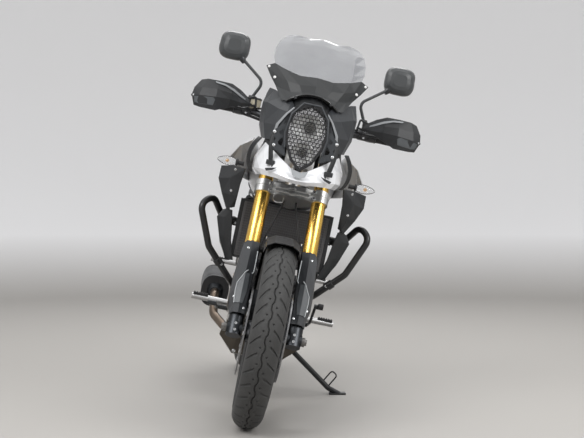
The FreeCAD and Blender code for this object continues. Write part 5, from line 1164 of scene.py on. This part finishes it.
def make_rear_details():
    spring, cups, pins, bolts, lamp, rubber_tops = shapes(6)
    low, high = Vector((0, 1128, 438)), Vector((0, 975, 597))
    way = (high - low).normalized()
    start = low + way * 36
    run = (high - low).length - 60
    one, two = axes_for(way)
    coils, coil_steps, coil_radius = 7, 20, 33
    line = []
    for k in range(coils * coil_steps + 1):
        angle = 2 * math.pi * k / coil_steps
        line.append(start + way * (run * k / (coils * coil_steps))
                    + (one * math.cos(angle) + two * math.sin(angle)) * coil_radius)
    spring.tube(line, 6, 12)
    for along in (-6, run + 2):
        cups.turned(start + way * along, way, [(36, -3), (41, -2), (41, 4), (36, 5)], 40)
    tilt = math.atan2(rear_gear.z - front_gear.z, rear_gear.y - front_gear.y)
    lean = math.asin((rear_gear_radius - front_gear_radius) / (rear_gear - front_gear).length)
    for sign in (1, -1):
        angle = tilt + sign * (math.pi / 2 + lean)
        normal = Vector((0, math.cos(angle), math.sin(angle)))
        a, b = front_gear + normal * front_gear_radius, rear_gear + normal * rear_gear_radius
        count = int((b - a).length / chain_pitch)
        for k in range(count):
            spot = a + (b - a) * ((k + 0.5) / count)
            pins.turned(spot - ACROSS * 9.6, ACROSS, [(2.4, 0), (2.8, 0.6), (2.8, 18.6), (2.4, 19.2)], 12)
    for y in (1560, 1660, 1770):
        for x in (-88, 88):
            socket_bolt(bolts, (x, y, 936), UP, 5)
    for side, out in BOTH_WAYS:
        bolt(bolts, rear_hub + out * 124, out, 13)
        bolts.block(rear_hub + at(side, 125, 20, 0), (6, 50, 24))
        bolt(bolts, (side * 126, 985, 395), out, 11)
        for y, z in ((930, 745), (1200, 715)):
            dome(bolts, (side * 138, y, z), out, 6, 3)
    for k in range(7):
        lamp.turned((-42 + 14 * k, 1751, 853), REAR, [(4.5, 0), (4.5, 2), (3, 4)], 16)
    rubber_tops.turned((216, 700, 420), ACROSS, [(8, 0), (11.5, 1.5), (11.5, 22), (8, 23.5)], 24)
    pegs = (((272, 879, 358), (64, 26, 8), (246, 879, 363.5), 10.5, (4.5, 26, 4)),
            ((226, 1158, 516), (70, 24, 6), (198, 1158, 520), 11, (4.5, 24, 3.4)))
    for side in SIDES:
        for place, size, (x, y, z), step, rib in pegs:
            rubber_tops.block(at(side, *place), size)
            for k in range(6):
                rubber_tops.block((side * (x + k * step), y, z), rib)
    pieces("chassis", ("shock_spring", spring, powder_black, 60), ("shock_cups", cups, dark_alloy, 35),
           ("chain_pins", pins, steel, 35), ("rear_bolts", bolts, steel),
           ("tail_lamp_cells", lamp, red_paint, 35), ("peg_rubbers", rubber_tops, soft_rubber, 30, 1.2))


def make_stand_details():
    pivot = Shape()
    bolt(pivot, (158, 797, 230), (0.48, -0.14, 0.866), 9)
    pieces("side_stand_leg", ("stand_pivot_bolt", pivot, steel))


# Crash bars' clamps, the skid plate's bolts and the covers' fasteners
def make_guard_hardware():
    clamps, bolts = shapes(2)
    for side in SIDES:
        for spots in (((216, 328, 531), (170, 345, 482)), ((200, 461, 694), (110, 560, 705))):
            a, b = (at(side, *spot) for spot in spots)
            band(clamps, a, (b - a).normalized(), 12.6, 16.5, (-12, -11, 11, 12), 28)
            clamps.block(a + at(side, -15, 6, -8), (20, 20, 22))
            socket_bolt(bolts, a + at(side, -14, -5, -8), -REAR, 4.6)
        for z in (880, 800):
            dome(bolts, (side * 222, 266, z), -REAR, 5, 2.6)
        for x, z in ((120, 330), (105, 262), (88, 200)):
            socket_bolt(bolts, (side * x, 402 + (330 - z) * 0.35, z), (0, -0.95, -0.3), 6)
    pieces("chassis", ("crash_bar_clamps", clamps, powder_black, 35, 1), ("guard_bolts", bolts, steel))


# Seat: a crowned pad with sewn seams. Its three lengths are metres.
pad_voxel = 0.006
pad_shrink = 0.0015
pad_swell = 0.003
pad_pressure = 4
pad_frames = 20


def as_modified(obj):
    """A new mesh of what the object's modifiers make."""
    return bpy.data.meshes.new_from_object(obj.evaluated_get(bpy.context.evaluated_depsgraph_get()))


def puff(pad):
    """An even skin on the pad, blown up a little as a cloth."""
    remesh = pad.modifiers.new("even", "REMESH")
    remesh.mode = "VOXEL"
    remesh.voxel_size = pad_voxel
    even = as_modified(pad)
    pad.modifiers.clear()
    work = bmesh.new()
    work.from_mesh(even)
    for _ in range(6):
        bmesh.ops.smooth_vert(work, verts=work.verts, factor=0.5, use_axis_x=True, use_axis_y=True,
                              use_axis_z=True)
    work.normal_update()
    for vertex in work.verts:
        vertex.co -= vertex.normal * pad_shrink
    work.to_mesh(even)
    work.free()
    pad.data = even
    rest = [vertex.co.copy() for vertex in even.vertices]
    cloth = pad.modifiers.new("cloth", "CLOTH")
    cloth.settings.use_pressure = True
    cloth.settings.uniform_pressure_force = pad_pressure
    cloth.settings.effector_weights.gravity = 0
    cloth.point_cache.frame_end = pad_frames
    scene = bpy.context.scene
    for frame_number in range(1, pad_frames + 1):
        scene.frame_set(frame_number)
    puffed = as_modified(pad)
    pad.modifiers.clear()
    for vertex, place in zip(puffed.vertices, rest):
        move = vertex.co - place
        if move.length > pad_swell:
            vertex.co = place + move.normalized() * pad_swell
    pad.data = puffed
    scene.frame_set(1)
    finer = pad.modifiers.new("round", "SUBSURF")
    finer.levels = finer.render_levels = 1


def make_seat():
    source = nodes["seat"]
    mesh = source.data.copy()
    mesh.transform(source.matrix_world)
    pad = bpy.data.objects.new("seat_pad", mesh)
    bpy.context.scene.collection.objects.link(pad)
    puff(pad)
    pad.data.materials.clear()
    pad.data.materials.append(seat_cloth)
    pad.data.shade_smooth()
    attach(pad, "chassis")
    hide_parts("seat")
    seams = Shape()
    surface = BVHTree.FromPolygons([MACHINE_BACK @ vertex.co for vertex in pad.data.vertices],
                                   [tuple(face.vertices) for face in pad.data.polygons])

    def top(x, y):
        return surface.ray_cast(Vector((x, y, 1200)), -UP)[0]

    for side, out in BOTH_WAYS:
        edges = [surface.ray_cast(at(side, 400, 850 + k * 10.8, 850), -out)[0] for k in range(60)]
        line = [top(edge.x * 0.80, 850 + k * 10.8) for k, edge in enumerate(edges) if edge is not None]
        line = [spot for spot in line if spot is not None]
        if len(line) > 3:
            seams.tube(line, 1.7, 8)
    cross = [top(x, 1168 + abs(x) * 0.12) for x in range(-110, 115, 5)]
    seams.tube([spot for spot in cross if spot is not None], 1.7, 8)
    pieces("chassis", ("seat_seams", seams, seat_thread, 50))


make_tyre("front_tyre_tread", "front_tyre", "front_wheel", front_hub, radius=329, width=110, rim_radius=241,
          periods=38)
make_tyre("rear_tyre_tread", "rear_tyre", "rear_wheel", rear_hub, radius=321, width=150, rim_radius=216,
          periods=34)
for make in (make_discs, make_wheel_details, make_lamp, make_lamp_guard_ears, make_beak_trim,
             make_screen_fittings, make_dash, make_bar_details, make_clamp_details, make_mirror_faces,
             make_hand_guard_details, make_turn_signals, make_fork_details, make_radiator_details,
             make_engine_details, make_exhaust_details, make_rear_details, make_stand_details,
             make_guard_hardware, make_seat):
    make()


# Stage, in metres
floor_radius = 6
sweep_radius = 2.5
floor_steps = 96
near_ground, far_ground = (0.37, 0.355, 0.335), (0.88, 0.88, 0.89)
far_height = 0.6
sky_light = 0.66
seen_sky = (0.93, 0.93, 0.94, 1)


def stage_light(name, place, aim, size, watts):
    lamp = bpy.data.lights.new(name, "AREA")
    lamp.shape = "RECTANGLE"
    lamp.size, lamp.size_y = size
    lamp.energy = watts
    obj = bpy.data.objects.new(name, lamp)
    obj.location = place
    obj.rotation_euler = (Vector(aim) - Vector(place)).to_track_quat("-Z", "Y").to_euler()
    bpy.context.scene.collection.objects.link(obj)


def make_floor():
    """A round floor that sweeps up, and turns from warm grey to the paler ground with its height."""
    look = Look("floor")
    height = new_node(look.tree, "SeparateXYZ", Vector=look.place).outputs["Z"]
    look.put(Base_Color=look.ramp(height, ((0, near_ground), (far_height, far_ground))), Roughness=0.6)
    sweep = [(1.5, 0), (3.5, 0)]
    for k in range(17):
        angle = math.pi / 2 * k / 16
        sweep.append((floor_radius + sweep_radius * math.sin(angle),
                      sweep_radius - sweep_radius * math.cos(angle)))
    sweep.append((8.5, 5.0))
    points = [(0, 0, 0)]
    for reach, rise in sweep:
        points += [(reach * c, reach * s, rise) for c, s in circuit(floor_steps)]
    faces = [(0, 1 + k, 1 + (k + 1) % floor_steps) for k in range(floor_steps)]
    for low in range(1, 1 + (len(sweep) - 1) * floor_steps, floor_steps):
        high = low + floor_steps
        for k in range(floor_steps):
            after = (k + 1) % floor_steps
            faces.append((low + k, high + k, high + after, low + after))
    mesh = bpy.data.meshes.new("floor")
    mesh.from_pydata(points, [], faces)
    mesh.shade_smooth()
    mesh.materials.append(look.material)
    floor = bpy.data.objects.new("floor", mesh)
    bpy.context.scene.collection.objects.link(floor)


def make_world():
    """White light from all round, behind a paler ground that the camera sees."""
    world = bpy.data.worlds.new("studio")
    bpy.context.scene.world = world
    world.use_nodes = True
    tree = world.node_tree
    base = tree.nodes["Background"]
    put(tree, base, Color=(1, 1, 1, 1), Strength=sky_light)
    seen = new_node(tree, "Background", Color=seen_sky, Strength=1.0)
    path = new_node(tree, "LightPath").outputs
    most = new_node(tree, "Math")
    most.operation = "MAXIMUM"
    mix = new_node(tree, "MixShader", Fac=most.outputs[0])
    put(tree, tree.nodes["World Output"], Surface=mix.outputs["Shader"])
    for output, socket in ((path["Is Camera Ray"], most.inputs[0]),
                           (path["Is Transmission Ray"], most.inputs[1]),
                           (base.outputs["Background"], mix.inputs[1]),
                           (seen.outputs["Background"], mix.inputs[2])):
        tree.links.new(output, socket)


make_floor()
make_world()
stage_light("key", place=(-2.6, -3.6, 3.6), aim=(0, -0.4, 0.7), size=(2.4, 1.6), watts=120)
stage_light("fill", place=(2.8, -3.2, 2.6), aim=(0, -0.4, 0.7), size=(2.0, 1.6), watts=90)
stage_light("top", place=(0.0, 0.4, 4.2), aim=(0, 0, 0.6), size=(5.0, 5.0), watts=88)
stage_light("rear", place=(0.4, 3.4, 4.4), aim=(0, 0.6, 0.8), size=(2.6, 1.6), watts=62)

# The camera, as fitted to the photo: its focal length in pixels, and its place from the front axle
photo_width = 584
focal_length = 1072
eye_from_axle = Vector((-0.0416, -3.7209, 0.3772))
eye_rise = 0.35
eye_turn = -2.14
sensor_width = 36
camera = bpy.data.cameras.new("photo")
camera.sensor_width = sensor_width
camera.lens = focal_length / photo_width * sensor_width
camera.clip_start = 0.05
camera.clip_end = 100
eye = bpy.data.objects.new("photo", camera)
eye.location = Vector(joints["front_wheel_spin"]["pos_m"]) + eye_from_axle
eye.rotation_euler = (math.radians(90 + eye_rise), 0, math.radians(eye_turn))
bpy.context.scene.collection.objects.link(eye)
bpy.context.scene.camera = eye
bpy.context.scene.view_settings.view_transform = "Standard"
